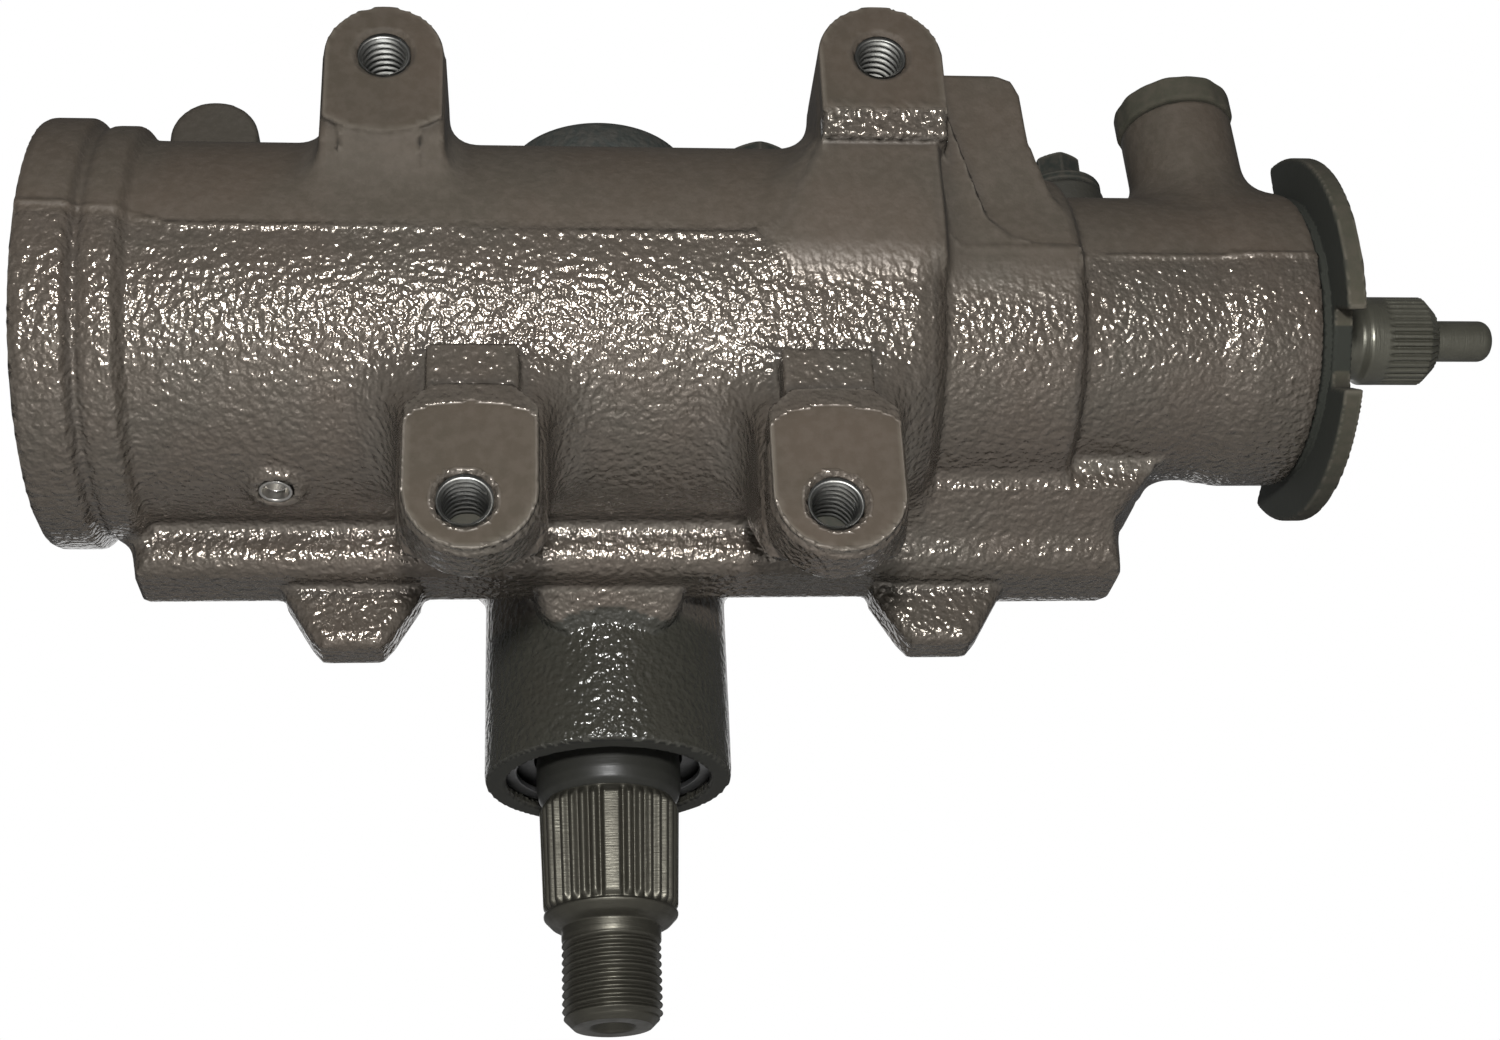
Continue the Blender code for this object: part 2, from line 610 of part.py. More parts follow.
def combine(obj, *others, operation="DIFFERENCE", solver="EXACT"):
    for other in others:
        modifier = obj.modifiers.new(other.name, "BOOLEAN")
        modifier.operation = operation
        modifier.object = other
        modifier.solver = solver
    return settle(obj)


def join(obj, *others):
    return combine(obj, *others, operation="UNION")


def settle(obj):
    """Apply the object's modifiers and shade its round faces smooth."""
    bpy.context.view_layer.update()
    graph = bpy.context.evaluated_depsgraph_get()
    mesh = bpy.data.meshes.new_from_object(obj.evaluated_get(graph))
    obj.modifiers.clear()
    obj.data = mesh
    mesh.shade_smooth()
    mesh.set_sharp_from_angle(angle=math.radians(30))
    return obj


def make_part(obj, name, finish):
    """Turn a shape into a finished piece of the gearbox."""
    TOOLS.objects.unlink(obj)
    PARTS.objects.link(obj)
    obj.name = name
    obj.hide_render = False
    obj.display_type = "TEXTURED"
    obj.data.materials.clear()
    obj.data.materials.append(finish_material(name, finish))
    return settle(obj)


# Housing


def housing_barrel():
    groove = END_BAND_RADIUS - GROOVE_DEPTH
    flange_right = HOUSING_LEFT + END_FLANGE_LENGTH
    profile = [
        (0, HOUSING_RIGHT),
        (COLLAR_RADIUS - CAST_ROUND, HOUSING_RIGHT),
        (COLLAR_RADIUS, HOUSING_RIGHT - CAST_ROUND),
        (COLLAR_RADIUS, NECK_RIGHT + CAST_ROUND),
        (NECK_RADIUS, NECK_RIGHT),
        (NECK_RADIUS, SHOULDER_RIGHT + 2 * CAST_ROUND),
        ((NECK_RADIUS + SHOULDER_RADIUS) / 2, SHOULDER_RIGHT + CAST_ROUND / 2),
        (SHOULDER_RADIUS, SHOULDER_RIGHT - CAST_ROUND),
        (SHOULDER_RADIUS, BODY_RIGHT + SHOULDER_RUN),
        (BODY_RADIUS - CAST_ROUND, BODY_RIGHT + CAST_ROUND),
        (BODY_RADIUS, BODY_RIGHT - CAST_ROUND),
        (BODY_RADIUS, BODY_LEFT + CAST_ROUND),
        (END_BAND_RADIUS, BODY_LEFT - CAST_ROUND),
        (END_BAND_RADIUS, flange_right + CAST_ROUND),
        (groove, flange_right),
        (END_FLANGE_RADIUS, flange_right - CAST_ROUND),
        (END_FLANGE_RADIUS, HOUSING_LEFT + CAST_ROUND),
        (END_FLANGE_RADIUS - CAST_ROUND, HOUSING_LEFT),
        (0, HOUSING_LEFT),
    ]
    return turned("housing barrel", profile, "X")


def sector_chamber():
    """The round chamber behind the barrel, tapering below into the pitman boss."""
    floor = CHAMBER_FLOOR - CHAMBER_FLOOR_THICKNESS
    outer = CHAMBER_RADIUS + CHAMBER_WALL
    profile = [
        (0, COVER_SEAT_HEIGHT - CAST_ROUND),
        (outer, COVER_SEAT_HEIGHT - CAST_ROUND),
        (outer, CHAMBER_FLOOR),
        (PITMAN_BOSS_RADIUS + CHAMBER_WALL, floor - CHAMBER_WALL),
        (PITMAN_BOSS_RADIUS, floor - 2 * CHAMBER_WALL),
        (PITMAN_BOSS_RADIUS, PITMAN_BOSS_END + CAST_ROUND / 2),
        (PITMAN_BOSS_RADIUS - CAST_ROUND / 2, PITMAN_BOSS_END),
        (0, PITMAN_BOSS_END),
    ]
    return turned("sector chamber", profile, parent=PITMAN_AXIS)


def cover_seat():
    seat = plate(
        "cover seat",
        [lobed_square()],
        COVER_SEAT_THICKNESS,
        place=(0, 0, COVER_SEAT_HEIGHT - COVER_SEAT_THICKNESS / 2),
        parent=PITMAN_AXIS,
    )
    pillars = [
        rod(
            f"bolt pillar {number}",
            COVER_LOBE_RADIUS - CAST_ROUND / 2,
            COVER_SEAT_HEIGHT - 2.6 * COVER_SEAT_THICKNESS,
            COVER_SEAT_HEIGHT - CAST_ROUND / 2,
            sides=SMALL_SIDES,
            place=(x, y, 0),
        )
        for number, (x, y) in enumerate(COVER_BOLT_CORNERS, 1)
    ]
    return [seat, *pillars]


def upper_ear(name, hole, radius, web_foot):
    """A deep ear with a raised pad, and a web below it that spreads to web_foot."""
    x, z = hole
    pad_end = z - 1.2 * radius
    head = plate(
        name + " head",
        [tongue(hole, radius, pad_end)],
        UPPER_EAR_DEPTH,
        "XZ",
        (0, EAR_FACE + UPPER_EAR_DEPTH / 2, 0),
    )
    left, right, foot = web_foot
    web_depth = UPPER_EAR_DEPTH - 2 * PAD_STEP
    web = plate(
        name + " web",
        [[(x - radius, z), (left, foot), (right, foot), (x + radius, z)]],
        web_depth,
        "XZ",
        (0, EAR_FACE + PAD_STEP + web_depth / 2, 0),
    )
    return [head, web]


def lower_ear(name, hole):
    """A short ear hung below the barrel on a tapered web."""
    x = hole[0] + LOWER_PAD_SHIFT
    z = hole[1]
    pad_top = z + LOWER_PAD_HEIGHT
    crown = arc((x, pad_top - 2.6 * LOWER_PAD_RADIUS), 2.75 * LOWER_PAD_RADIUS, 68.5, 111.5, 4)
    outline = crown + arc((x, z + LOWER_PAD_LIFT), LOWER_PAD_RADIUS, 180, 360, 8)
    head = plate(
        name + " head", [outline], LOWER_EAR_DEPTH, "XZ", (0, EAR_FACE + LOWER_EAR_DEPTH / 2, 0)
    )
    front = EAR_FACE + 2 * PAD_STEP
    gusset = [
        (front + 1.2 * PAD_STEP, LOWER_WEB_TOP),
        (front, z + 0.2 * LOWER_PAD_RADIUS),
        (EAR_FACE + LOWER_EAR_DEPTH - PAD_STEP, z - 0.4 * LOWER_PAD_RADIUS),
        (0, -BODY_RADIUS + BODY_WALL / 2),
        (0, LOWER_WEB_TOP),
    ]
    web = plate(name + " web", [gusset], 2 * LOWER_WEB_HALF_WIDTH, "YZ", (x, 0, 0))
    return [head, web]


def ear_gusset():
    """The tower beside the upper right ear that ties it to the shoulder."""
    left = UPPER_RIGHT_EAR[0] + UPPER_RIGHT_PAD_RADIUS - 1.5 * PAD_STEP
    right = SHOULDER_RIGHT - 4.6 * CAST_ROUND
    top = UPPER_RIGHT_EAR[1] + 1.6 * MM
    outline = [
        (left, 0),
        (left, top),
        (right - 6.5 * MM, top),
        (right - 1.5 * MM, top - 3 * MM),
        (right, top - 8 * MM),
        (right + 3.5 * MM, 0),
    ]
    depth = UPPER_EAR_DEPTH
    return plate("ear gusset", [outline], depth, "XZ", (0, EAR_FACE + 12 * MM + depth / 2, 0))


def rib_and_lugs():
    """The long rib under the barrel and the two lugs that hang from it."""
    rib_middle = RIB_FRONT + RIB_THICKNESS / 2
    top = -BODY_RADIUS / 2
    outline = [
        (RIB_LEFT - 1 * MM, top),
        (RIB_LEFT - 1 * MM, RIB_BOTTOM + 8 * MM),
        (RIB_LEFT + 1 * MM, RIB_BOTTOM),
        (RIB_RIGHT, RIB_BOTTOM),
        (RIB_RIGHT + 2.5 * MM, RIB_BOTTOM + 14 * MM),
        (RIB_RIGHT + 12 * MM, RIB_BOTTOM + 24 * MM),
        (RIB_RIGHT + 12 * MM, top),
    ]
    pieces = [plate("lower rib", [outline], RIB_THICKNESS, "XZ", (0, rib_middle, 0))]
    for number, station in enumerate(LUG_STATIONS, 1):
        tip_round = 3 * MM
        lug = [
            (station - LUG_TOP_HALF_WIDTH, RIB_BOTTOM + 4 * MM),
            (station - LUG_TOP_HALF_WIDTH, RIB_BOTTOM),
            (station - LUG_TIP_HALF_WIDTH, LUG_BOTTOM + tip_round),
            (station - LUG_TIP_HALF_WIDTH + tip_round, LUG_BOTTOM),
            (station + LUG_TIP_HALF_WIDTH - tip_round, LUG_BOTTOM),
            (station + LUG_TIP_HALF_WIDTH, LUG_BOTTOM + tip_round),
            (station + LUG_TOP_HALF_WIDTH, RIB_BOTTOM),
            (station + LUG_TOP_HALF_WIDTH, RIB_BOTTOM + 4 * MM),
        ]
        pieces.append(plate(f"lug {number}", [lug], LUG_THICKNESS, "XZ", (0, rib_middle, 0)))
    return pieces


def small_bosses():
    front_port = turned(
        "front port boss",
        rod_profile(FRONT_PORT_RADIUS, -PORT_ROOT, FRONT_PORT_RISE, CAST_ROUND),
        sides=SMALL_SIDES,
        place=FRONT_PORT_PLACE,
        turn=(0, FRONT_PORT_LEAN, 0),
    )
    rear_port = rod(
        "rear port boss",
        REAR_PORT_RADIUS,
        -PORT_ROOT,
        REAR_PORT_RISE,
        sides=SMALL_SIDES,
        chamfer=CAST_ROUND,
        place=REAR_PORT_PLACE,
    )
    cup_boss = turned(
        "cup plug boss",
        rod_profile(CUP_BOSS_RADIUS, BODY_RADIUS - 2 * CAST_ROUND, BODY_RADIUS + CUP_BOSS_RISE),
        sides=SMALL_SIDES,
        place=(CUP_BOSS_STATION, 0, 0),
        turn=(math.pi - CUP_BOSS_TURN, 0, 0),
    )
    rear_lug = plate(
        "rear lug",
        [tongue(REAR_LUG_PLACE, REAR_LUG_RADIUS, MAIN_BORE_RADIUS)],
        REAR_LUG_THICKNESS,
        "XZ",
        (0, REAR_LUG_THICKNESS / 3, 0),
    )
    return [front_port, rear_port, cup_boss, rear_lug]


def housing_bores():
    seat_right = HOUSING_LEFT + END_SEAT_DEPTH
    groove_left = HOUSING_LEFT + RETAINING_GROOVE_INSET
    past = 2 * MM
    main = [
        (0, HOUSING_RIGHT + past),
        (ADJUSTER_BORE_RADIUS, HOUSING_RIGHT + past),
        (ADJUSTER_BORE_RADIUS, VALVE_BORE_RIGHT),
        (VALVE_BORE_RADIUS, VALVE_BORE_RIGHT),
        (VALVE_BORE_RADIUS, BULKHEAD_RIGHT),
        (BULKHEAD_HOLE_RADIUS, BULKHEAD_RIGHT),
        (BULKHEAD_HOLE_RADIUS, BULKHEAD_LEFT),
        (MAIN_BORE_RADIUS, BULKHEAD_LEFT),
        (MAIN_BORE_RADIUS, seat_right),
        (END_SEAT_RADIUS, seat_right),
        (END_SEAT_RADIUS, groove_left + RETAINING_GROOVE_WIDTH),
        (RETAINING_GROOVE_RADIUS, groove_left + RETAINING_GROOVE_WIDTH),
        (RETAINING_GROOVE_RADIUS, groove_left),
        (END_SEAT_RADIUS, groove_left),
        (END_SEAT_RADIUS, HOUSING_LEFT - past),
        (0, HOUSING_LEFT - past),
    ]
    groove_bottom = PITMAN_BOSS_END + SNAP_GROOVE_INSET
    groove_radius = PITMAN_SEAL_RADIUS + SNAP_GROOVE_DEPTH
    pitman = [
        (0, COVER_SEAT_HEIGHT + past),
        (CHAMBER_RADIUS, COVER_SEAT_HEIGHT + past),
        (CHAMBER_RADIUS, CHAMBER_FLOOR),
        (PITMAN_BEARING_RADIUS, CHAMBER_FLOOR),
        (PITMAN_BEARING_RADIUS, PITMAN_SEAL_SEAT),
        (PITMAN_SEAL_RADIUS, PITMAN_SEAL_SEAT),
        (PITMAN_SEAL_RADIUS, groove_bottom + SNAP_GROOVE_WIDTH),
        (groove_radius, groove_bottom + SNAP_GROOVE_WIDTH),
        (groove_radius, groove_bottom),
        (PITMAN_SEAL_RADIUS, groove_bottom),
        (PITMAN_SEAL_RADIUS, PITMAN_BOSS_END - past),
        (0, PITMAN_BOSS_END - past),
    ]
    return [
        turned("barrel bores", main, "X"),
        turned("pitman bores", pitman, parent=PITMAN_AXIS),
    ]


def housing_holes():
    ears = (UPPER_LEFT_EAR, UPPER_RIGHT_EAR, LOWER_LEFT_EAR, LOWER_RIGHT_EAR)
    cutters = [
        turned(
            f"ear hole {number}",
            rod_profile(EAR_HOLE_RADIUS, -2 * MM, EAR_HOLE_DEPTH),
            sides=FASTENER_SIDES,
            place=(x, EAR_FACE, z),
            turn=(-math.pi / 2, 0, 0),
        )
        for number, (x, z) in enumerate(ears, 1)
    ]
    bolt_bottom = COVER_TOP + SEAT_GAP - COVER_BOLT_REACH - SEAT_GAP
    cutters += [
        rod(
            f"cover bolt hole {number}",
            COVER_BOLT_RADIUS + SEAT_GAP,
            bolt_bottom,
            COVER_SEAT_HEIGHT + 2 * MM,
            sides=FASTENER_SIDES,
            place=(x, y, 0),
        )
        for number, (x, y) in enumerate(COVER_BOLT_CORNERS, 1)
    ]
    cutters.append(
        turned(
            "front port hole",
            rod_profile(PORT_HOLE_RADIUS, -PORT_ROOT, FRONT_PORT_RISE + 2 * MM),
            sides=SMALL_SIDES,
            place=FRONT_PORT_PLACE,
            turn=(0, FRONT_PORT_LEAN, 0),
        )
    )
    cutters.append(
        rod(
            "rear port hole",
            PORT_HOLE_RADIUS,
            -PORT_ROOT,
            REAR_PORT_RISE + 2 * MM,
            sides=SMALL_SIDES,
            place=REAR_PORT_PLACE,
        )
    )
    cutters.append(
        turned(
            "cup plug hole",
            rod_profile(
                CUP_PLUG_RADIUS + SEAT_GAP,
                BODY_RADIUS + CUP_BOSS_RISE - CUP_PLUG_DEPTH,
                BODY_RADIUS + CUP_BOSS_RISE + 2 * MM,
            ),
            sides=FASTENER_SIDES,
            place=(CUP_BOSS_STATION, 0, 0),
            turn=(math.pi - CUP_BOSS_TURN, 0, 0),
        )
    )
    return cutters


def gear_housing():
    left_web = (
        UPPER_LEFT_EAR[0] - UPPER_LEFT_PAD_RADIUS,
        UPPER_LEFT_EAR[0] + UPPER_LEFT_PAD_RADIUS,
        UPPER_LEFT_WEB_FOOT,
    )
    right_web = (
        UPPER_RIGHT_EAR[0] - UPPER_RIGHT_WEB_REACH[0],
        UPPER_RIGHT_EAR[0] + UPPER_RIGHT_WEB_REACH[1],
        UPPER_RIGHT_WEB_FOOT,
    )
    added = [
        sector_chamber(),
        *cover_seat(),
        *rib_and_lugs(),
        *upper_ear("upper left ear", UPPER_LEFT_EAR, UPPER_LEFT_PAD_RADIUS, left_web),
        *upper_ear("upper right ear", UPPER_RIGHT_EAR, UPPER_RIGHT_PAD_RADIUS, right_web),
        ear_gusset(),
        *lower_ear("lower left ear", LOWER_LEFT_EAR),
        *lower_ear("lower right ear", LOWER_RIGHT_EAR),
        *small_bosses(),
    ]
    housing = join(housing_barrel(), *added)
    combine(housing, *housing_bores(), *housing_holes(), solver="MANIFOLD")
    make_part(housing, "gear_housing", "painted iron")


# Side cover group


def side_cover():
    flange = plate(
        "cover flange",
        [lobed_square()],
        COVER_FLANGE_THICKNESS,
        place=(0, 0, COVER_BOTTOM + COVER_FLANGE_THICKNESS / 2),
        parent=PITMAN_AXIS,
    )
    dome = turned(
        "cover dome",
        [
            (0, COVER_BOSS_TOP),
            (COVER_BOSS_RADIUS, COVER_BOSS_TOP),
            (COVER_BOSS_RADIUS + 3 * MM, COVER_DOME_TOP),
            (COVER_DOME_RADIUS - 2 * CAST_ROUND, COVER_DOME_TOP),
            (COVER_DOME_RADIUS, COVER_DOME_TOP - 2 * CAST_ROUND),
            (COVER_DOME_RADIUS, COVER_TOP + 3 * MM),
            (COVER_DOME_RADIUS + 3 * MM, COVER_TOP - 1 * MM),
            (0, COVER_TOP - 1 * MM),
        ],
        parent=PITMAN_AXIS,
    )
    bore = turned(
        "cover bore",
        [
            (0, TRUNNION_TOP + 2 * MM),
            (BUSHING_RADIUS + SEAT_GAP, TRUNNION_TOP + 2 * MM),
            (BUSHING_RADIUS + SEAT_GAP, COVER_BOTTOM - 2 * MM),
            (0, COVER_BOTTOM - 2 * MM),
        ],
        parent=PITMAN_AXIS,
    )
    screw_hole = rod(
        "lash screw hole",
        LASH_SCREW_RADIUS + SEAT_GAP,
        TRUNNION_TOP,
        COVER_BOSS_TOP + 2 * MM,
        sides=SMALL_SIDES,
        parent=PITMAN_AXIS,
    )
    bolt_holes = [
        rod(
            f"cover hole {number}",
            COVER_BOLT_RADIUS + SEAT_GAP,
            COVER_BOTTOM - 2 * MM,
            COVER_TOP + 2 * MM,
            sides=FASTENER_SIDES,
            place=(x, y, 0),
        )
        for number, (x, y) in enumerate(COVER_BOLT_CORNERS, 1)
    ]
    cover = join(flange, dome)
    combine(cover, bore, screw_hole, *bolt_holes)
    make_part(cover, "side_cover", "dark steel")


def side_cover_bolts():
    for number, (x, y) in enumerate(COVER_BOLT_CORNERS, 1):
        seat = COVER_TOP + SEAT_GAP
        shank = rod(
            f"bolt shank {number}",
            COVER_BOLT_RADIUS,
            seat - COVER_BOLT_REACH,
            seat + COVER_BOLT_HEAD_HEIGHT / 2,
            sides=FASTENER_SIDES,
            place=(x, y, 0),
        )
        head = plate(
            f"bolt head {number}",
            [hexagon(COVER_BOLT_HEAD_ACROSS)],
            COVER_BOLT_HEAD_HEIGHT,
            place=(x, y, seat + COVER_BOLT_HEAD_HEIGHT / 2),
        )
        make_part(join(head, shank), f"side_cover_bolt_{number}", "dark steel")


def side_cover_gasket():
    holes = [
        circle((x, y - CENTRE_DISTANCE), COVER_BOLT_RADIUS + SEAT_GAP, FASTENER_SIDES)
        for x, y in COVER_BOLT_CORNERS
    ]
    gasket = plate(
        "gasket",
        [lobed_square(), circle((0, 0), CHAMBER_RADIUS), *holes],
        GASKET_THICKNESS,
        place=(0, 0, GASKET_BOTTOM + GASKET_THICKNESS / 2),
        parent=PITMAN_AXIS,
    )
    make_part(gasket, "side_cover_gasket", "gasket paper")


def side_cover_bushing():
    bottom = COVER_BOTTOM + 1 * MM
    bushing = ring(
        "bushing",
        BUSHING_RADIUS,
        PITMAN_TRUNNION_RADIUS + RUNNING_GAP,
        bottom,
        bottom + BUSHING_LENGTH,
        sides=INNER_SIDES,
        parent=PITMAN_AXIS,
    )
    make_part(bushing, "side_cover_bushing", "bronze")


def lash_adjuster():
    head_top = LASH_HEAD_BOTTOM + LASH_SCREW_HEAD_HEIGHT
    screw = turned(
        "lash screw",
        [
            (0, LASH_SCREW_TOP),
            (LASH_SCREW_RADIUS - 1 * MM, LASH_SCREW_TOP),
            (LASH_SCREW_RADIUS, LASH_SCREW_TOP - 1 * MM),
            (LASH_SCREW_RADIUS, head_top),
            (LASH_SCREW_HEAD_RADIUS, head_top),
            (LASH_SCREW_HEAD_RADIUS, LASH_HEAD_BOTTOM),
            (0, LASH_HEAD_BOTTOM),
        ],
        sides=SMALL_SIDES,
        parent=PITMAN_AXIS,
    )
    slot = box(
        "driver slot",
        (-2 * LASH_SCREW_RADIUS, -0.7 * MM, LASH_SCREW_TOP - 2 * MM),
        (2 * LASH_SCREW_RADIUS, 0.7 * MM, LASH_SCREW_TOP + 1 * MM),
        parent=PITMAN_AXIS,
    )
    make_part(combine(screw, slot), "lash_adjuster_screw", "dark steel")
    nut = plate(
        "lash nut",
        [hexagon(LASH_NUT_ACROSS), circle((0, 0), LASH_SCREW_RADIUS + SEAT_GAP, SMALL_SIDES)],
        LASH_NUT_HEIGHT,
        place=(0, 0, COVER_BOSS_TOP + SEAT_GAP + LASH_NUT_HEIGHT / 2),
        parent=PITMAN_AXIS,
    )
    make_part(nut, "lash_lock_nut", "dark steel")


# Left end of the barrel


def end_plug_group():
    seat_right = HOUSING_LEFT + END_SEAT_DEPTH
    right = seat_right - SEAT_GAP
    left = right - END_PLUG_THICKNESS
    outer = END_SEAT_RADIUS - SEAT_GAP
    seal_middle = (left + right) / 2
    seal_radius = outer - END_SEAL_WIRE
    groove = END_SEAL_WIRE + SEAT_GAP
    plug = turned(
        "end plug",
        [
            (0, right),
            (outer, right),
            (outer, seal_middle + groove),
            (seal_radius - groove, seal_middle + groove),
            (seal_radius - groove, seal_middle - groove),
            (outer, seal_middle - groove),
            (outer, left),
            (outer - END_PLUG_RIM, left),
            (outer - END_PLUG_RIM - END_PLUG_RECESS, left + END_PLUG_RECESS),
            (0, left + END_PLUG_RECESS),
        ],
        "X",
    )
    make_part(plug, "housing_end_plug", "painted iron")
    seal = turned(
        "end seal",
        [
            (seal_radius + x, seal_middle + y)
            for x, y in circle((0, 0), END_SEAL_WIRE, 6)[::-1]
        ],
        "X",
        ring=True,
    )
    make_part(seal, "end_plug_seal", "rubber")
    station = HOUSING_LEFT + RETAINING_GROOVE_INSET + RETAINING_GROOVE_WIDTH / 2
    half_gap = RETAINING_RING_OPENING / 2
    radius = RETAINING_GROOVE_RADIUS - RETAINING_WIRE - SEAT_GAP
    steps = INNER_SIDES
    sweep = 2 * math.pi - RETAINING_RING_OPENING
    turns = [-math.pi / 2 + half_gap + sweep * i / steps for i in range(steps + 1)]
    path = [(station, radius * math.cos(turn), radius * math.sin(turn)) for turn in turns]
    wire = tube("retaining wire", path, RETAINING_WIRE, resolution=1)
    make_part(wire, "end_plug_retaining_ring", "dark steel")


# Ball screw


def helix(left, right, per_turn):
    """Points on the ball circle: the angle from +Y towards +Z grows by a turn for each lead along X."""
    turns = (right - left) / LEAD
    steps = round(turns * per_turn)
    points = []
    for i in range(steps + 1):
        x = left + (right - left) * i / steps
        angle = -math.pi / 2 + 2 * math.pi * (x - CIRCUIT_LEFT) / LEAD
        points.append((x, BALL_CIRCLE_RADIUS * math.cos(angle), BALL_CIRCLE_RADIUS * math.sin(angle)))
    return points


def crossing_frame():
    """Unit vector across the guide from one leg to the other, its normal, and the distance."""
    across = Vector((CIRCUIT_LENGTH, 0, 2 * BALL_CIRCLE_RADIUS))
    distance = across.length
    across.normalize()
    return across, across.cross(Vector((0, 1, 0))), distance


def guide_path(leg_start, bend_steps=3):
    """The U that carries balls from one end of the circuit back to the other, entering along Y."""
    across, _, distance = crossing_frame()
    first = Vector((CIRCUIT_LEFT, 0, -BALL_CIRCLE_RADIUS))
    flat = []
    bend = GUIDE_BEND_RADIUS
    for x, y in arc((bend, GUIDE_HEIGHT - bend), bend, 180, 90, bend_steps):
        flat.append((x, y))
    for x, y in arc((distance - bend, GUIDE_HEIGHT - bend), bend, 90, 0, bend_steps):
        flat.append((x, y))
    flat = [(0, leg_start), *flat, (distance, leg_start)]
    return [first + across * x - Vector((0, 1, 0)) * y for x, y in flat]


def ball_loop():
    """The closed path of the balls: round the worm and back through the guide."""
    back = guide_path(0)
    return helix(CIRCUIT_LEFT, CIRCUIT_RIGHT, 2 * NUT_SIDES) + back[-2:0:-1]


def points_at_equal_steps(path, count):
    """Count points equally spaced along a closed path."""
    ends = [Vector(point) for point in path]
    ends.append(ends[0])
    lengths = [(b - a).length for a, b in zip(ends, ends[1:])]
    total = sum(lengths)
    points = []
    segment = 0
    walked = 0.0
    for i in range(count):
        wanted = total * i / count
        while walked + lengths[segment] < wanted:
            walked += lengths[segment]
            segment += 1
        share = (wanted - walked) / lengths[segment]
        points.append(ends[segment].lerp(ends[segment + 1], share))
    return points, total


def ball_train():
    _, total = points_at_equal_steps(ball_loop(), 1)
    balls = math.ceil(total / (2 * BALL_RADIUS))
    stations = 3
    places, _ = points_at_equal_steps(ball_loop(), balls * stations)
    half_pitch = total / balls / 2
    scales = []
    for i in range(len(places)):
        off_centre = half_pitch * abs(1 - 2 * (i % stations) / stations)
        height = math.sqrt(max(BALL_RADIUS**2 - off_centre**2, BALL_NECK_RADIUS**2))
        scales.append(height / BALL_RADIUS)
    train = tube("balls", places, BALL_RADIUS, closed=True, resolution=1, point_scale=scales)
    make_part(train, "ball_train", "bearing steel")


def guide_half(number, side):
    """Half of the return tube, split along the plane of the U."""
    _, normal, _ = crossing_frame()
    path = guide_path(GUIDE_LEG_START)
    outer = GUIDE_TUBE_RADIUS
    inner = GUIDE_TUBE_RADIUS - GUIDE_WALL
    start = math.degrees(math.asin(SEAT_GAP / 2 / inner))
    section = arc((0, 0), outer, start, 180 - start, 4) + arc((0, 0), inner, 180 - start, start, 4)
    rings = []
    for i, point in enumerate(path):
        before = path[max(i - 1, 0)]
        after = path[min(i + 1, len(path) - 1)]
        along = (after - before).normalized()
        outwards = along.cross(normal)
        rings.append([point + outwards * x + normal * side * y for x, y in section])
    half = lofted(f"guide half {number}", rings)
    make_part(half, f"ball_guide_half_{number}", "bright steel")


def guide_middle():
    return Vector((CIRCUIT_CENTRE, 0, 0))


def clamp_turn():
    """Turn that lays a plate's X along the clamp, its Y away from the worm, its Z along the guide."""
    across, normal, _ = crossing_frame()
    away = Vector((0, -1, 0))
    along = normal.cross(away)
    return Matrix((normal, away, along)).transposed().to_euler()


def guide_clamp():
    foot = GUIDE_POCKET_DEPTH + SEAT_GAP
    inner = GUIDE_TUBE_RADIUS + SEAT_GAP
    outer = inner + CLAMP_THICKNESS
    reach = CLAMP_SCREW_SPREAD + CLAMP_SCREW_HEAD_RADIUS
    height = GUIDE_HEIGHT
    outline = [
        (-reach, foot + CLAMP_THICKNESS),
        (-reach, foot),
        (-inner, foot),
        *arc((0, height), inner, 180, 0, 8),
        (inner, foot),
        (reach, foot),
        (reach, foot + CLAMP_THICKNESS),
        (outer, foot + CLAMP_THICKNESS),
        *arc((0, height), outer, 0, 180, 8),
        (-outer, foot + CLAMP_THICKNESS),
    ]
    clamp = plate("clamp", [outline], CLAMP_WIDTH, place=guide_middle(), turn=clamp_turn())
    holes = [
        turned(
            f"clamp hole {number}",
            rod_profile(CLAMP_SCREW_RADIUS + SEAT_GAP, foot - 2 * MM, foot + 4 * MM),
            sides=FASTENER_SIDES,
            place=clamp_screw_place(side),
            turn=(math.pi / 2, 0, 0),
        )
        for number, side in enumerate((-1, 1), 1)
    ]
    make_part(combine(clamp, *holes), "guide_clamp", "bright steel")


def clamp_screw_place(side):
    _, normal, _ = crossing_frame()
    return guide_middle() + normal * side * CLAMP_SCREW_SPREAD


def guide_clamp_screws():
    seat = GUIDE_POCKET_DEPTH + 2 * SEAT_GAP + CLAMP_THICKNESS
    for number, side in enumerate((-1, 1), 1):
        screw = turned(
            f"clamp screw {number}",
            [
                (0, seat + CLAMP_SCREW_HEAD_HEIGHT),
                (CLAMP_SCREW_HEAD_RADIUS - 0.8 * MM, seat + CLAMP_SCREW_HEAD_HEIGHT),
                (CLAMP_SCREW_HEAD_RADIUS, seat + CLAMP_SCREW_HEAD_HEIGHT / 2),
                (CLAMP_SCREW_HEAD_RADIUS, seat),
                (CLAMP_SCREW_RADIUS, seat),
                (CLAMP_SCREW_RADIUS, GUIDE_POCKET_DEPTH - CLAMP_SCREW_DEPTH),
                (0, GUIDE_POCKET_DEPTH - CLAMP_SCREW_DEPTH),
            ],
            sides=FASTENER_SIDES,
            place=clamp_screw_place(side),
            turn=(math.pi / 2, 0, 0),
        )
        make_part(screw, f"guide_clamp_screw_{number}", "dark steel")


# Rack piston


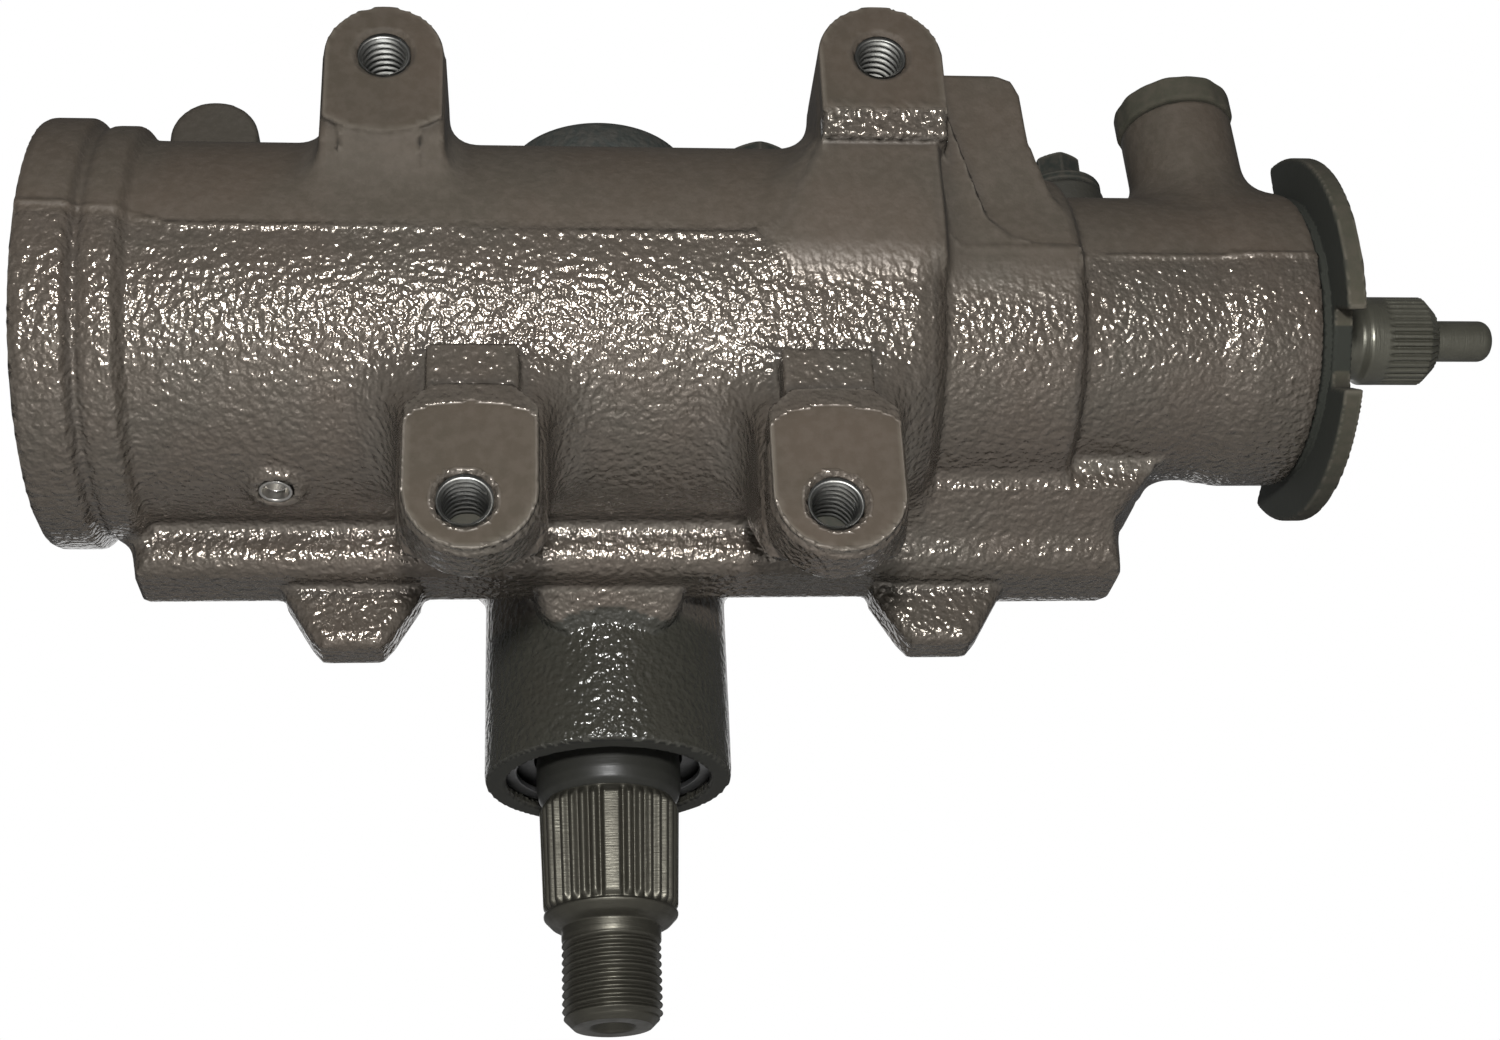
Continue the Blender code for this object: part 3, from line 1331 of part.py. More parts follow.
def rack_spaces():
    """The spaces between the rack teeth: straight flanks at the pressure angle."""
    root = RACK_PITCH_LINE - DEDENDUM
    top = RACK_TIP_LINE + 3 * MM
    half_at_pitch = CIRCULAR_PITCH / 4
    half_at_root = half_at_pitch - DEDENDUM * math.tan(PRESSURE_ANGLE)
    half_at_top = half_at_pitch + (top - RACK_PITCH_LINE) * math.tan(PRESSURE_ANGLE)
    cutters = []
    for number in range(SECTOR_TEETH):
        station = (number - (SECTOR_TEETH - 1) / 2) * CIRCULAR_PITCH
        outline = [
            (station - half_at_root, root),
            (station + half_at_root, root),
            (station + half_at_top, top),
            (station - half_at_top, top),
        ]
        cutters.append(plate(f"rack space {number + 1}", [outline], 2.4 * RACK_RADIUS))
    return cutters


def rack_piston():
    ring_left = PISTON_RING_STATION - PISTON_RING_WIDTH / 2 - SEAT_GAP
    ring_right = PISTON_RING_STATION + PISTON_RING_WIDTH / 2 + SEAT_GAP
    ring_root = RACK_RADIUS - PISTON_RING_DEPTH
    chamfer = 1.5 * MM
    body = turned(
        "rack body",
        [
            (0, RACK_RIGHT),
            (RACK_RADIUS - chamfer, RACK_RIGHT),
            (RACK_RADIUS, RACK_RIGHT - chamfer),
            (RACK_RADIUS, ring_right),
            (ring_root, ring_right),
            (ring_root, ring_left),
            (RACK_RADIUS, ring_left),
            (RACK_RADIUS, RACK_LEFT + chamfer),
            (RACK_RADIUS - chamfer, RACK_LEFT),
            (0, RACK_LEFT),
        ],
        "X",
    )
    far = 2 * RACK_RADIUS
    flat = box("rack flat", (RACK_FLAT_LEFT, RACK_TIP_LINE, -far), (RACK_RIGHT + 2 * MM, far, far))
    pocket = box(
        "guide pocket",
        (GUIDE_POCKET_LEFT, -far, -far),
        (GUIDE_POCKET_RIGHT, -GUIDE_POCKET_DEPTH, far),
    )
    bore = rod("nut bore", NUT_BORE_RADIUS, RACK_LEFT - 2 * MM, RACK_RIGHT + 2 * MM, "X", SMALL_SIDES)
    run_out = LEAD / 12
    path = helix(CIRCUIT_LEFT - run_out, CIRCUIT_RIGHT + run_out, NUT_SIDES)
    groove = tube("nut groove", path, GROOVE_RADIUS)
    guide_holes = []
    for number, end in enumerate((0, -1), 1):
        leg = guide_path(0)[end]
        guide_holes.append(
            turned(
                f"guide hole {number}",
                rod_profile(GUIDE_TUBE_RADIUS + SEAT_GAP, 0, GUIDE_POCKET_DEPTH + 2 * MM),
                sides=SMALL_SIDES,
                place=leg,
                turn=(math.pi / 2, 0, 0),
            )
        )
    screw_holes = [
        turned(
            f"clamp screw hole {number}",
            rod_profile(
                CLAMP_SCREW_RADIUS + SEAT_GAP,
                GUIDE_POCKET_DEPTH - CLAMP_SCREW_DEPTH - SEAT_GAP,
                GUIDE_POCKET_DEPTH + 2 * MM,
            ),
            sides=FASTENER_SIDES,
            place=clamp_screw_place(side),
            turn=(math.pi / 2, 0, 0),
        )
        for number, side in enumerate((-1, 1), 1)
    ]
    combine(body, flat, *rack_spaces(), pocket, bore, groove, *guide_holes, *screw_holes)
    make_part(body, "rack_piston", "bright steel")


def piston_ring():
    seal = ring(
        "ring",
        MAIN_BORE_RADIUS - SEAT_GAP,
        RACK_RADIUS - PISTON_RING_DEPTH + SEAT_GAP,
        PISTON_RING_STATION - PISTON_RING_WIDTH / 2,
        PISTON_RING_STATION + PISTON_RING_WIDTH / 2,
        "X",
    )
    make_part(seal, "piston_ring", "ring plastic")


def rack_piston_end_plug():
    plug = rod(
        "rack plug",
        NUT_BORE_RADIUS - SEAT_GAP,
        RACK_LEFT,
        RACK_LEFT + RACK_PLUG_LENGTH,
        "X",
        SMALL_SIDES,
        chamfer=0.8 * MM,
    )
    half = RACK_PLUG_SOCKET / 2
    socket = box(
        "plug socket",
        (RACK_LEFT - 2 * MM, -half, -half),
        (RACK_LEFT + RACK_PLUG_SOCKET_DEPTH, half, half),
    )
    make_part(combine(plug, socket), "rack_piston_end_plug", "dark steel")


# Worm and valve


def worm_shaft():
    pilot_bore = STUB_PILOT_RADIUS + RUNNING_GAP
    bore_left = WORM_RIGHT - WORM_SLOT_DEPTH - STUB_PILOT_LENGTH - RUNNING_GAP
    bar_left = bore_left - TORSION_HEAD_LENGTH - SEAT_GAP
    body = turned(
        "worm body",
        [
            (0, WORM_RIGHT),
            (WORM_HEAD_RADIUS, WORM_RIGHT),
            (WORM_HEAD_RADIUS, WORM_FLANGE_RIGHT),
            (WORM_FLANGE_RADIUS, WORM_FLANGE_RIGHT),
            (WORM_FLANGE_RADIUS, WORM_FLANGE_LEFT),
            (WORM_NECK_RADIUS, WORM_FLANGE_LEFT),
            (WORM_NECK_RADIUS, BULKHEAD_LEFT - 1 * MM),
            (WORM_LAND_RADIUS, BULKHEAD_LEFT - 3.4 * MM),
            (WORM_LAND_RADIUS, WORM_LEFT + 1.5 * MM),
            (WORM_LAND_RADIUS - 1.5 * MM, WORM_LEFT),
            (0, WORM_LEFT),
        ],
        "X",
        SMALL_SIDES,
    )
    path = helix(WORM_GROOVE_LEFT, WORM_GROOVE_RIGHT, WORM_SIDES)
    thread = tube("worm groove", path, GROOVE_RADIUS)
    head_bore = turned(
        "worm head bore",
        [
            (0, WORM_RIGHT + 2 * MM),
            (pilot_bore, WORM_RIGHT + 2 * MM),
            (pilot_bore, bore_left),
            (TORSION_HEAD_RADIUS + SEAT_GAP, bore_left),
            (TORSION_HEAD_RADIUS + SEAT_GAP, bar_left),
            (0, bar_left),
        ],
        "X",
        SMALL_SIDES,
    )
    half = WORM_SLOT_WIDTH / 2
    slot = box(
        "worm slot",
        (WORM_RIGHT - WORM_SLOT_DEPTH, -half, -WORM_HEAD_RADIUS * 2),
        (WORM_RIGHT + 2 * MM, half, WORM_HEAD_RADIUS * 2),
    )
    make_part(combine(body, thread, head_bore, slot), "worm_shaft", "bright steel")


def thrust_set(name, left):
    """A needle thrust bearing between two races, starting at the station left; returns its right end."""
    widths = (THRUST_RACE, THRUST_CAGE, THRUST_RACE)
    kinds = ("race_left", "bearing", "race_right")
    station = left
    for kind, width in zip(kinds, widths):
        station += SEAT_GAP
        inset = 0.5 * MM if kind == "bearing" else 0.0
        piece = ring(
            f"{name} {kind}",
            THRUST_OUTER_RADIUS - inset,
            THRUST_INNER_RADIUS + inset,
            station,
            station + width,
            "X",
            INNER_SIDES,
        )
        if kind == "bearing":
            piece = with_needles(piece, name, station, width)
        make_part(piece, f"{name}_{kind}", "bearing steel")
        station += width
    return station


def with_needles(cage, name, left, width, needles=8):
    """Cut the windows that the needles of a thrust bearing show through."""
    cutters = []
    for number in range(needles):
        turn = 2 * math.pi * number / needles
        cutters.append(
            box(
                f"{name} window {number}",
                (left + 0.7 * width, -0.6 * MM, THRUST_INNER_RADIUS + 1.6 * MM),
                (left + 2 * width, 0.6 * MM, THRUST_OUTER_RADIUS - 1.6 * MM),
                turn=(turn, 0, 0),
            )
        )
    return combine(cage, *cutters)


def valve_body():
    middle = (VALVE_BODY_LEFT + VALVE_BODY_RIGHT) / 2
    root = VALVE_BODY_RADIUS - VALVE_RING_DEPTH
    half = VALVE_RING_WIDTH / 2 + SEAT_GAP
    outer = [(VALVE_BODY_RADIUS, VALVE_BODY_RIGHT)]
    for place in range(VALVE_RINGS):
        station = middle + ((VALVE_RINGS - 1) / 2 - place) * VALVE_RING_PITCH
        outer += [
            (VALVE_BODY_RADIUS, station + half),
            (root, station + half),
            (root, station - half),
            (VALVE_BODY_RADIUS, station - half),
        ]
        seal = ring(
            f"valve ring {place + 1}",
            VALVE_BORE_RADIUS - SEAT_GAP,
            root + SEAT_GAP,
            station - VALVE_RING_WIDTH / 2,
            station + VALVE_RING_WIDTH / 2,
            "X",
            INNER_SIDES,
        )
        make_part(seal, f"valve_ring_{place + 1}", "ring plastic")
    outer += [
        (VALVE_BODY_RADIUS, VALVE_BODY_LEFT),
        (VALVE_BODY_BORE, VALVE_BODY_LEFT),
        (VALVE_BODY_BORE, VALVE_BODY_RIGHT),
    ]
    sleeve = turned("valve sleeve", outer, "X", INNER_SIDES, ring=True)
    ports = []
    for row in (-1, 1):
        for number in range(3):
            ports.append(
                turned(
                    f"valve port {row} {number}",
                    rod_profile(VALVE_PORT_RADIUS, 0, 2 * VALVE_BODY_RADIUS),
                    sides=8,
                    place=(middle + row * VALVE_RING_PITCH / 2, 0, 0),
                    turn=(2 * math.pi * number / 3 + row * math.pi / 6, 0, 0),
                )
            )
    make_part(combine(sleeve, *ports), "valve_body", "bearing steel")


def spool_valve():
    outer = VALVE_BODY_BORE - RUNNING_GAP
    right = SPOOL_RIGHT
    spool = ring("spool", outer, SPOOL_BORE, SPOOL_LEFT, right, "X", INNER_SIDES)
    middle = (SPOOL_LEFT + right) / 2
    slots = [
        box(
            f"spool slot {number}",
            (middle - SPOOL_SLOT_LENGTH / 2, -SPOOL_SLOT_WIDTH / 2, outer - SPOOL_SLOT_DEPTH),
            (middle + SPOOL_SLOT_LENGTH / 2, SPOOL_SLOT_WIDTH / 2, 2 * outer),
            turn=(2 * math.pi * number / SPOOL_SLOTS, 0, 0),
        )
        for number in range(SPOOL_SLOTS)
    ]
    make_part(combine(spool, *slots), "spool_valve", "bearing steel")


def torsion_bar():
    bore_left = WORM_RIGHT - WORM_SLOT_DEPTH - STUB_PILOT_LENGTH - RUNNING_GAP
    left = bore_left - TORSION_HEAD_LENGTH
    right = STUB_SPLINE_LEFT - 2 * MM
    taper = TORSION_HEAD_RADIUS - TORSION_BAR_RADIUS
    bar = turned(
        "bar",
        [
            (0, right),
            (TORSION_HEAD_RADIUS, right),
            (TORSION_HEAD_RADIUS, right - TORSION_HEAD_LENGTH),
            (TORSION_BAR_RADIUS, right - TORSION_HEAD_LENGTH - taper),
            (TORSION_BAR_RADIUS, left + TORSION_HEAD_LENGTH + taper),
            (TORSION_HEAD_RADIUS, left + TORSION_HEAD_LENGTH),
            (TORSION_HEAD_RADIUS, left),
            (0, left),
        ],
        "X",
        FASTENER_SIDES,
    )
    make_part(bar, "torsion_bar", "bright steel")


def serrated_rings(teeth, depth, stations, wide_teeth=0):
    """Rings of points for a serrated shaft: each station is (radius, height); wide teeth lack a valley."""
    rings = []
    every = teeth // wide_teeth if wide_teeth else 0
    for radius, height in stations:
        points = []
        for tooth in range(teeth):
            full = every and tooth % every == 0
            for share, low in ((0.0, not full), (0.5, False)):
                turn = 2 * math.pi * (tooth - 0.5 + share) / teeth - math.pi / 2
                reach = radius - depth if low else radius
                points.append((reach * math.cos(turn), reach * math.sin(turn), height))
        rings.append(points)
    return rings


def stub_shaft():
    pilot_left = WORM_RIGHT - WORM_SLOT_DEPTH - STUB_PILOT_LENGTH
    tang_left = WORM_RIGHT - WORM_SLOT_DEPTH + RUNNING_GAP
    body_left = WORM_RIGHT + RUNNING_GAP
    spline_right = STUB_SPLINE_LEFT + STUB_SPLINE_LENGTH
    root = STUB_SPLINE_RADIUS - STUB_SERRATION_DEPTH
    end_radius = root - STUB_END_CHAMFER
    core = turned(
        "stub core",
        [
            (0, INPUT_TIP),
            (PILOT_RADIUS - PILOT_ROUND, INPUT_TIP),
            (PILOT_RADIUS - PILOT_ROUND / 3, INPUT_TIP - PILOT_ROUND / 3),
            (PILOT_RADIUS, INPUT_TIP - PILOT_ROUND),
            (PILOT_RADIUS, spline_right - 1 * MM),
            (end_radius, spline_right - 1 * MM),
            (root - 0.2 * MM, spline_right - STUB_END_CHAMFER - 1 * MM),
            (root - 0.2 * MM, STUB_SPLINE_LEFT + 1 * MM),
            (STUB_NECK_RADIUS, STUB_SPLINE_LEFT - 1 * MM),
            (STUB_NECK_RADIUS, STUB_NECK_LEFT + 2 * MM),
            (STUB_BODY_RADIUS, STUB_NECK_LEFT),
            (STUB_BODY_RADIUS, body_left),
            (STUB_PILOT_RADIUS, body_left),
            (STUB_PILOT_RADIUS, pilot_left),
            (0, pilot_left),
        ],
        "X",
        SMALL_SIDES,
    )
    chamfer = STUB_END_CHAMFER
    stations = [
        (STUB_SPLINE_RADIUS, STUB_SPLINE_LEFT + STUB_SERRATION_DEPTH),
        (STUB_SPLINE_RADIUS, spline_right - chamfer),
        (STUB_SPLINE_RADIUS - chamfer, spline_right),
    ]
    rings = serrated_rings(STUB_SERRATIONS, STUB_SERRATION_DEPTH, stations)
    spline = lofted("stub serrations", rings, turn=TURNED_TO_X)
    half = STUB_TANG_WIDTH / 2
    tang = box(
        "stub tang",
        (tang_left, -half, -STUB_TANG_REACH),
        (body_left + 2 * MM, half, STUB_TANG_REACH),
    )
    bore = turned(
        "stub bore",
        [
            (0, STUB_SPLINE_LEFT - 2 * MM + SEAT_GAP),
            (STUB_BORE_RADIUS, STUB_SPLINE_LEFT - 2 * MM + SEAT_GAP),
            (STUB_BORE_RADIUS, pilot_left - 2 * MM),
            (0, pilot_left - 2 * MM),
        ],
        "X",
        SMALL_SIDES,
    )
    join(core, spline, tang)
    make_part(combine(core, bore), "stub_shaft", "bright steel")


# Adjuster plug group


def adjuster_stations():
    """Left ends of what sits in the adjuster plug's cup, in order."""
    floor = ADJUSTER_LEFT + ADJUSTER_FLOOR_THICKNESS
    bearing = floor + 3 * MM
    seal = bearing + STUB_BEARING_LENGTH + SEAT_GAP
    dust = seal + STUB_SEAL_LENGTH + SEAT_GAP
    retaining = dust + STUB_DUST_SEAL_LENGTH + SEAT_GAP
    return floor, bearing, seal, dust, retaining


def adjuster_plug():
    floor, _, _, _, retaining = adjuster_stations()
    outer = ADJUSTER_BORE_RADIUS - SEAT_GAP
    groove = outer - ADJUSTER_SEAL_DEPTH
    half = ADJUSTER_SEAL_WIDTH / 2
    ring_right = retaining + SEAL_RING_WIDTH + SEAT_GAP
    ring_left = retaining - SEAT_GAP / 2
    ring_radius = ADJUSTER_CUP_RADIUS + SEAL_RING_GROOVE
    profile = [
        (outer - 1 * MM, ADJUSTER_FACE),
        (outer, ADJUSTER_FACE - 1 * MM),
        (outer, ADJUSTER_SEAL_STATION + half),
        (groove, ADJUSTER_SEAL_STATION + half),
        (groove, ADJUSTER_SEAL_STATION - half),
        (outer, ADJUSTER_SEAL_STATION - half),
        (outer, VALVE_BORE_RIGHT + SEAT_GAP),
        (VALVE_BORE_RADIUS - SEAT_GAP, VALVE_BORE_RIGHT + SEAT_GAP),
        (VALVE_BORE_RADIUS - SEAT_GAP, ADJUSTER_LEFT),
        (ADJUSTER_FLOOR_BORE, ADJUSTER_LEFT),
        (ADJUSTER_FLOOR_BORE, floor),
        (ADJUSTER_CUP_RADIUS, floor),
        (ADJUSTER_CUP_RADIUS, ring_left),
        (ring_radius, ring_left),
        (ring_radius, ring_right),
        (ADJUSTER_CUP_RADIUS, ring_right),
        (ADJUSTER_CUP_RADIUS, ADJUSTER_FACE - 1 * MM),
        (ADJUSTER_CUP_RADIUS + 1 * MM, ADJUSTER_FACE),
    ]
    plug = turned("adjuster", profile, "X", INNER_SIDES, ring=True)
    holes = [
        rod(
            f"spanner hole {number}",
            SPANNER_HOLE_RADIUS,
            ADJUSTER_FACE - SPANNER_HOLE_DEPTH,
            ADJUSTER_FACE + 2 * MM,
            "X",
            FASTENER_SIDES,
            place=(0, side * SPANNER_HOLE_CIRCLE, 0),
        )
        for number, side in enumerate((-1, 1), 1)
    ]
    make_part(combine(plug, *holes), "adjuster_plug", "dark steel")


def adjuster_plug_fillings():
    _, bearing, seal, dust, retaining = adjuster_stations()
    cup = ADJUSTER_CUP_RADIUS - SEAT_GAP
    shaft = STUB_BODY_RADIUS + RUNNING_GAP
    pieces = (
        ("stub_shaft_needle_bearing", cup, shaft, bearing, STUB_BEARING_LENGTH, "bearing steel"),
        ("stub_shaft_seal", cup, shaft, seal, STUB_SEAL_LENGTH, "rubber"),
        ("stub_shaft_dust_seal", cup, shaft, dust, STUB_DUST_SEAL_LENGTH, "rubber"),
        (
            "seal_retaining_ring",
            ADJUSTER_CUP_RADIUS + SEAL_RING_GROOVE - SEAT_GAP,
            shaft + 1.6 * MM,
            retaining,
            SEAL_RING_WIDTH,
            "dark steel",
        ),
    )
    for name, outer, inner, left, width, finish in pieces:
        make_part(ring(name, outer, inner, left, left + width, "X", INNER_SIDES), name, finish)
    half = ADJUSTER_SEAL_WIDTH / 2 - SEAT_GAP
    middle = ADJUSTER_BORE_RADIUS - SEAT_GAP - ADJUSTER_SEAL_DEPTH / 2
    seal_ring = turned(
        "adjuster seal",
        [
            (middle + x * (ADJUSTER_SEAL_DEPTH / 2 - SEAT_GAP) / half, ADJUSTER_SEAL_STATION + y)
            for x, y in circle((0, 0), half, 6)[::-1]
        ],
        "X",
        INNER_SIDES,
        ring=True,
    )
    make_part(seal_ring, "adjuster_plug_seal", "rubber")


def lock_nut_outline():
    """A circle with square notches; the first notch is centred at the given turn."""
    half = LOCK_NUT_NOTCH_WIDTH / 2
    floor = LOCK_NUT_RADIUS - LOCK_NUT_NOTCH_DEPTH
    corner = math.degrees(math.asin(half / LOCK_NUT_RADIUS))
    step = 360 / LOCK_NUT_NOTCHES
    points = []
    for notch in range(LOCK_NUT_NOTCHES):
        turn = LOCK_NUT_NOTCH_TURN + math.radians(step * notch)
        for along, across in ((floor, -half), (floor, half)):
            points.append(
                (
                    along * math.cos(turn) - across * math.sin(turn),
                    along * math.sin(turn) + across * math.cos(turn),
                )
            )
        start = math.degrees(turn) + corner
        points += arc((0, 0), LOCK_NUT_RADIUS, start, start + step - 2 * corner, 14)
    return points


def adjuster_lock_nut():
    nut = plate(
        "lock nut",
        [lock_nut_outline(), circle((0, 0), ADJUSTER_BORE_RADIUS)],
        LOCK_NUT_THICKNESS,
        "YZ",
        (LOCK_NUT_LEFT + LOCK_NUT_THICKNESS / 2, 0, 0),
    )
    make_part(nut, "adjuster_lock_nut", "painted iron")


# Pitman shaft group


def involute_half_angle(radius):
    """Half the angle a sector tooth spans at a radius, from its thickness at the pitch circle."""
    base = SECTOR_PITCH_RADIUS * math.cos(PRESSURE_ANGLE)
    at_pitch = (CIRCULAR_PITCH - BACKLASH * 2) / 4 / SECTOR_PITCH_RADIUS
    roll = math.tan(PRESSURE_ANGLE) - PRESSURE_ANGLE
    local = math.acos(min(1.0, base / max(radius, base)))
    return at_pitch + roll - (math.tan(local) - local)


def sector_outline():
    """Three involute teeth facing the rack, and a round hub behind them."""
    base = SECTOR_PITCH_RADIUS * math.cos(PRESSURE_ANGLE)
    root = SECTOR_PITCH_RADIUS - DEDENDUM
    radii = [root] + [base + (SECTOR_TIP_RADIUS - base) * i / 5 for i in range(6)]
    pitch_turn = 2 * math.pi / SECTOR_TEETH_ROUND
    points = []
    for number in range(SECTOR_TEETH):
        centre = -math.pi / 2 + (number - (SECTOR_TEETH - 1) / 2) * pitch_turn
        for radius in radii:
            turn = centre - involute_half_angle(radius)
            points.append((radius * math.cos(turn), radius * math.sin(turn)))
        for radius in radii[::-1]:
            turn = centre + involute_half_angle(radius)
            points.append((radius * math.cos(turn), radius * math.sin(turn)))
    reach = math.degrees(pitch_turn * SECTOR_TEETH / 2)
    points += arc((0, 0), SECTOR_HUB_RADIUS, -90 + reach, 270 - reach, 20)
    return points


def pitman_shaft():
    spline_end = PITMAN_SPLINE_TOP - PITMAN_SPLINE_LENGTH
    thread_top = spline_end - PITMAN_SHOULDER_LENGTH
    end = thread_top - PITMAN_THREAD_LENGTH
    chamfer = 1.2 * MM
    core = turned(
        "pitman core",
        [
            (0, TRUNNION_TOP),
            (PITMAN_TRUNNION_RADIUS - chamfer, TRUNNION_TOP),
            (PITMAN_TRUNNION_RADIUS, TRUNNION_TOP - chamfer),
            (PITMAN_TRUNNION_RADIUS, 0),
            (PITMAN_JOURNAL_RADIUS, 0),
            (PITMAN_JOURNAL_RADIUS, PITMAN_SPLINE_TOP + 3 * MM),
            (PITMAN_NECK_RADIUS, PITMAN_SPLINE_TOP + 1 * MM),
            (PITMAN_NECK_RADIUS - 0.6 * MM, spline_end + 1 * MM),
            (PITMAN_NECK_RADIUS - 0.6 * MM, spline_end - 0.6 * MM),
            (PITMAN_THREAD_RADIUS, thread_top),
            (PITMAN_THREAD_RADIUS, end + PITMAN_END_CHAMFER),
            (PITMAN_THREAD_RADIUS - PITMAN_END_CHAMFER, end),
            (CENTRE_DRILL_RADIUS, end),
            (CENTRE_DRILL_RADIUS / 2, end + CENTRE_DRILL_DEPTH / 2),
            (0, end + CENTRE_DRILL_DEPTH),
        ],
        sides=INNER_SIDES,
        parent=PITMAN_AXIS,
    )
    sector = plate("sector", [sector_outline()], SECTOR_HEIGHT, parent=PITMAN_AXIS)
    stations = [
        (PITMAN_SPLINE_TOP_RADIUS, PITMAN_SPLINE_TOP + 2 * MM),
        (PITMAN_SPLINE_END_RADIUS, spline_end + 0.8 * MM),
        (PITMAN_SPLINE_END_RADIUS - 0.8 * MM, spline_end),
    ]
    rings = serrated_rings(PITMAN_SERRATIONS, PITMAN_SERRATION_DEPTH, stations, wide_teeth=4)
    spline = lofted("pitman serrations", rings, parent=PITMAN_AXIS)
    slot_bottom = TRUNNION_TOP - LASH_SLOT_DROP
    head_clear = LASH_SCREW_HEAD_RADIUS + SEAT_GAP
    shank_clear = LASH_SCREW_RADIUS + SEAT_GAP
    head_slot = box(
        "screw head slot",
        (-head_clear, -2 * PITMAN_TRUNNION_RADIUS, slot_bottom),
        (head_clear, head_clear, slot_bottom + LASH_SCREW_HEAD_HEIGHT + 2 * SEAT_GAP),
        parent=PITMAN_AXIS,
    )
    shank_slot = box(
        "screw shank slot",
        (-shank_clear, -2 * PITMAN_TRUNNION_RADIUS, slot_bottom + SEAT_GAP),
        (shank_clear, shank_clear, TRUNNION_TOP + 2 * MM),
        parent=PITMAN_AXIS,
    )
    combine(core, sector, spline, operation="UNION", solver="MANIFOLD")
    combine(core, head_slot, shank_slot, solver="MANIFOLD")
    make_part(core, "pitman_shaft", "bright steel")


def pitman_fillings():
    """Bearing, seals and rings in the boss, from the bearing down to the snap ring."""
    shaft = PITMAN_JOURNAL_RADIUS + RUNNING_GAP
    seat = PITMAN_SEAL_RADIUS - SEAT_GAP
    bearing_top = PITMAN_SEAL_SEAT + PITMAN_BEARING_LENGTH
    bearing = ring(
        "pitman bearing",
        PITMAN_BEARING_RADIUS - SEAT_GAP,
        shaft,
        PITMAN_SEAL_SEAT + SEAT_GAP,
        bearing_top,
        sides=INNER_SIDES,
        parent=PITMAN_AXIS,
    )
    make_part(bearing, "pitman_needle_bearing", "bearing steel")
    pieces = (
        ("pitman_inner_seal", PITMAN_INNER_SEAL_LENGTH, seat, shaft, "rubber"),
        ("pitman_seal_washer", PITMAN_SEAL_WASHER_THICKNESS, seat, shaft, "bright steel"),
        ("pitman_outer_seal", PITMAN_OUTER_SEAL_LENGTH, seat, shaft, "rubber"),
        ("pitman_backup_washer", PITMAN_BACKUP_WASHER_THICKNESS, seat, shaft, "dark steel"),
    )
    top = PITMAN_SEAL_SEAT - SEAT_GAP
    for name, height, outer, inner, finish in pieces:
        piece = ring(name, outer, inner, top - height, top, sides=INNER_SIDES, parent=PITMAN_AXIS)
        make_part(piece, name, finish)
        top -= height + SEAT_GAP
    snap_bottom = PITMAN_BOSS_END + SNAP_GROOVE_INSET + SEAT_GAP
    snap_outer = PITMAN_SEAL_RADIUS + SNAP_GROOVE_DEPTH - SEAT_GAP
    snap_height = SNAP_GROOVE_WIDTH - 2 * SEAT_GAP
    width = 3.4 * MM
    gap = math.radians(9)
    turns = 360 - math.degrees(2 * gap)
    start = 90 + math.degrees(gap)
    outline = arc((0, 0), snap_outer, start, start + turns, INNER_SIDES)
    outline += arc((0, 0), snap_outer - width, start + turns, start, INNER_SIDES)
    snap = plate(
        "snap ring",
        [outline],
        snap_height,
        place=(0, 0, snap_bottom + snap_height / 2),
        parent=PITMAN_AXIS,
    )
    make_part(snap, "pitman_snap_ring", "dark steel")


# Port plugs


def port_plug(name, place, turn, rise, cap):
    """A round cap with a hex on it seated on a port boss, its shank down the port."""
    seat = rise + SEAT_GAP
    shank = turned(
        name + " shank",
        [
            (0, seat + cap["thick"]),
            (cap["radius"] - 1.2 * MM, seat + cap["thick"]),
            (cap["radius"], seat + cap["thick"] - 1.2 * MM),
            (cap["radius"], seat),
            (PORT_HOLE_RADIUS - SEAT_GAP, seat),
            (PORT_HOLE_RADIUS - SEAT_GAP, seat - PORT_PLUG_REACH),
            (0, seat - PORT_PLUG_REACH),
        ],
        sides=SMALL_SIDES,
        place=place,
        turn=turn,
    )
    head_length = cap["head"] + cap["thick"] / 2
    head = plate(name + " head", [hexagon(cap["across"])], head_length, place=place, turn=turn)
    for vertex in head.data.vertices:
        vertex.co.z += seat + cap["thick"] + cap["head"] - head_length / 2
    make_part(join(shank, head), name, "dark steel")


def port_plugs():
    port_plug("front_port_plug", FRONT_PORT_PLACE, (0, FRONT_PORT_LEAN, 0), FRONT_PORT_RISE, FRONT_CAP)
    port_plug("rear_port_plug", REAR_PORT_PLACE, (0, 0, 0), REAR_PORT_RISE, REAR_CAP)


def oil_passage_plug():
    """A cup plug pressed into its boss, hollow side out."""
    top = BODY_RADIUS + CUP_BOSS_RISE - 0.8 * MM
    bottom = BODY_RADIUS + CUP_BOSS_RISE - CUP_PLUG_DEPTH + SEAT_GAP
    wall = 0.8 * MM
    cup = turned(
        "cup plug",
        [
            (0, bottom + wall),
            (CUP_PLUG_RADIUS - wall, bottom + wall),
            (CUP_PLUG_RADIUS - wall, top),
            (CUP_PLUG_RADIUS, top),
            (CUP_PLUG_RADIUS, bottom),
            (0, bottom),
        ],
        sides=FASTENER_SIDES,
        place=(CUP_BOSS_STATION, 0, 0),
        turn=(math.pi - CUP_BOSS_TURN, 0, 0),
    )
    make_part(cup, "oil_passage_plug", "bright steel")


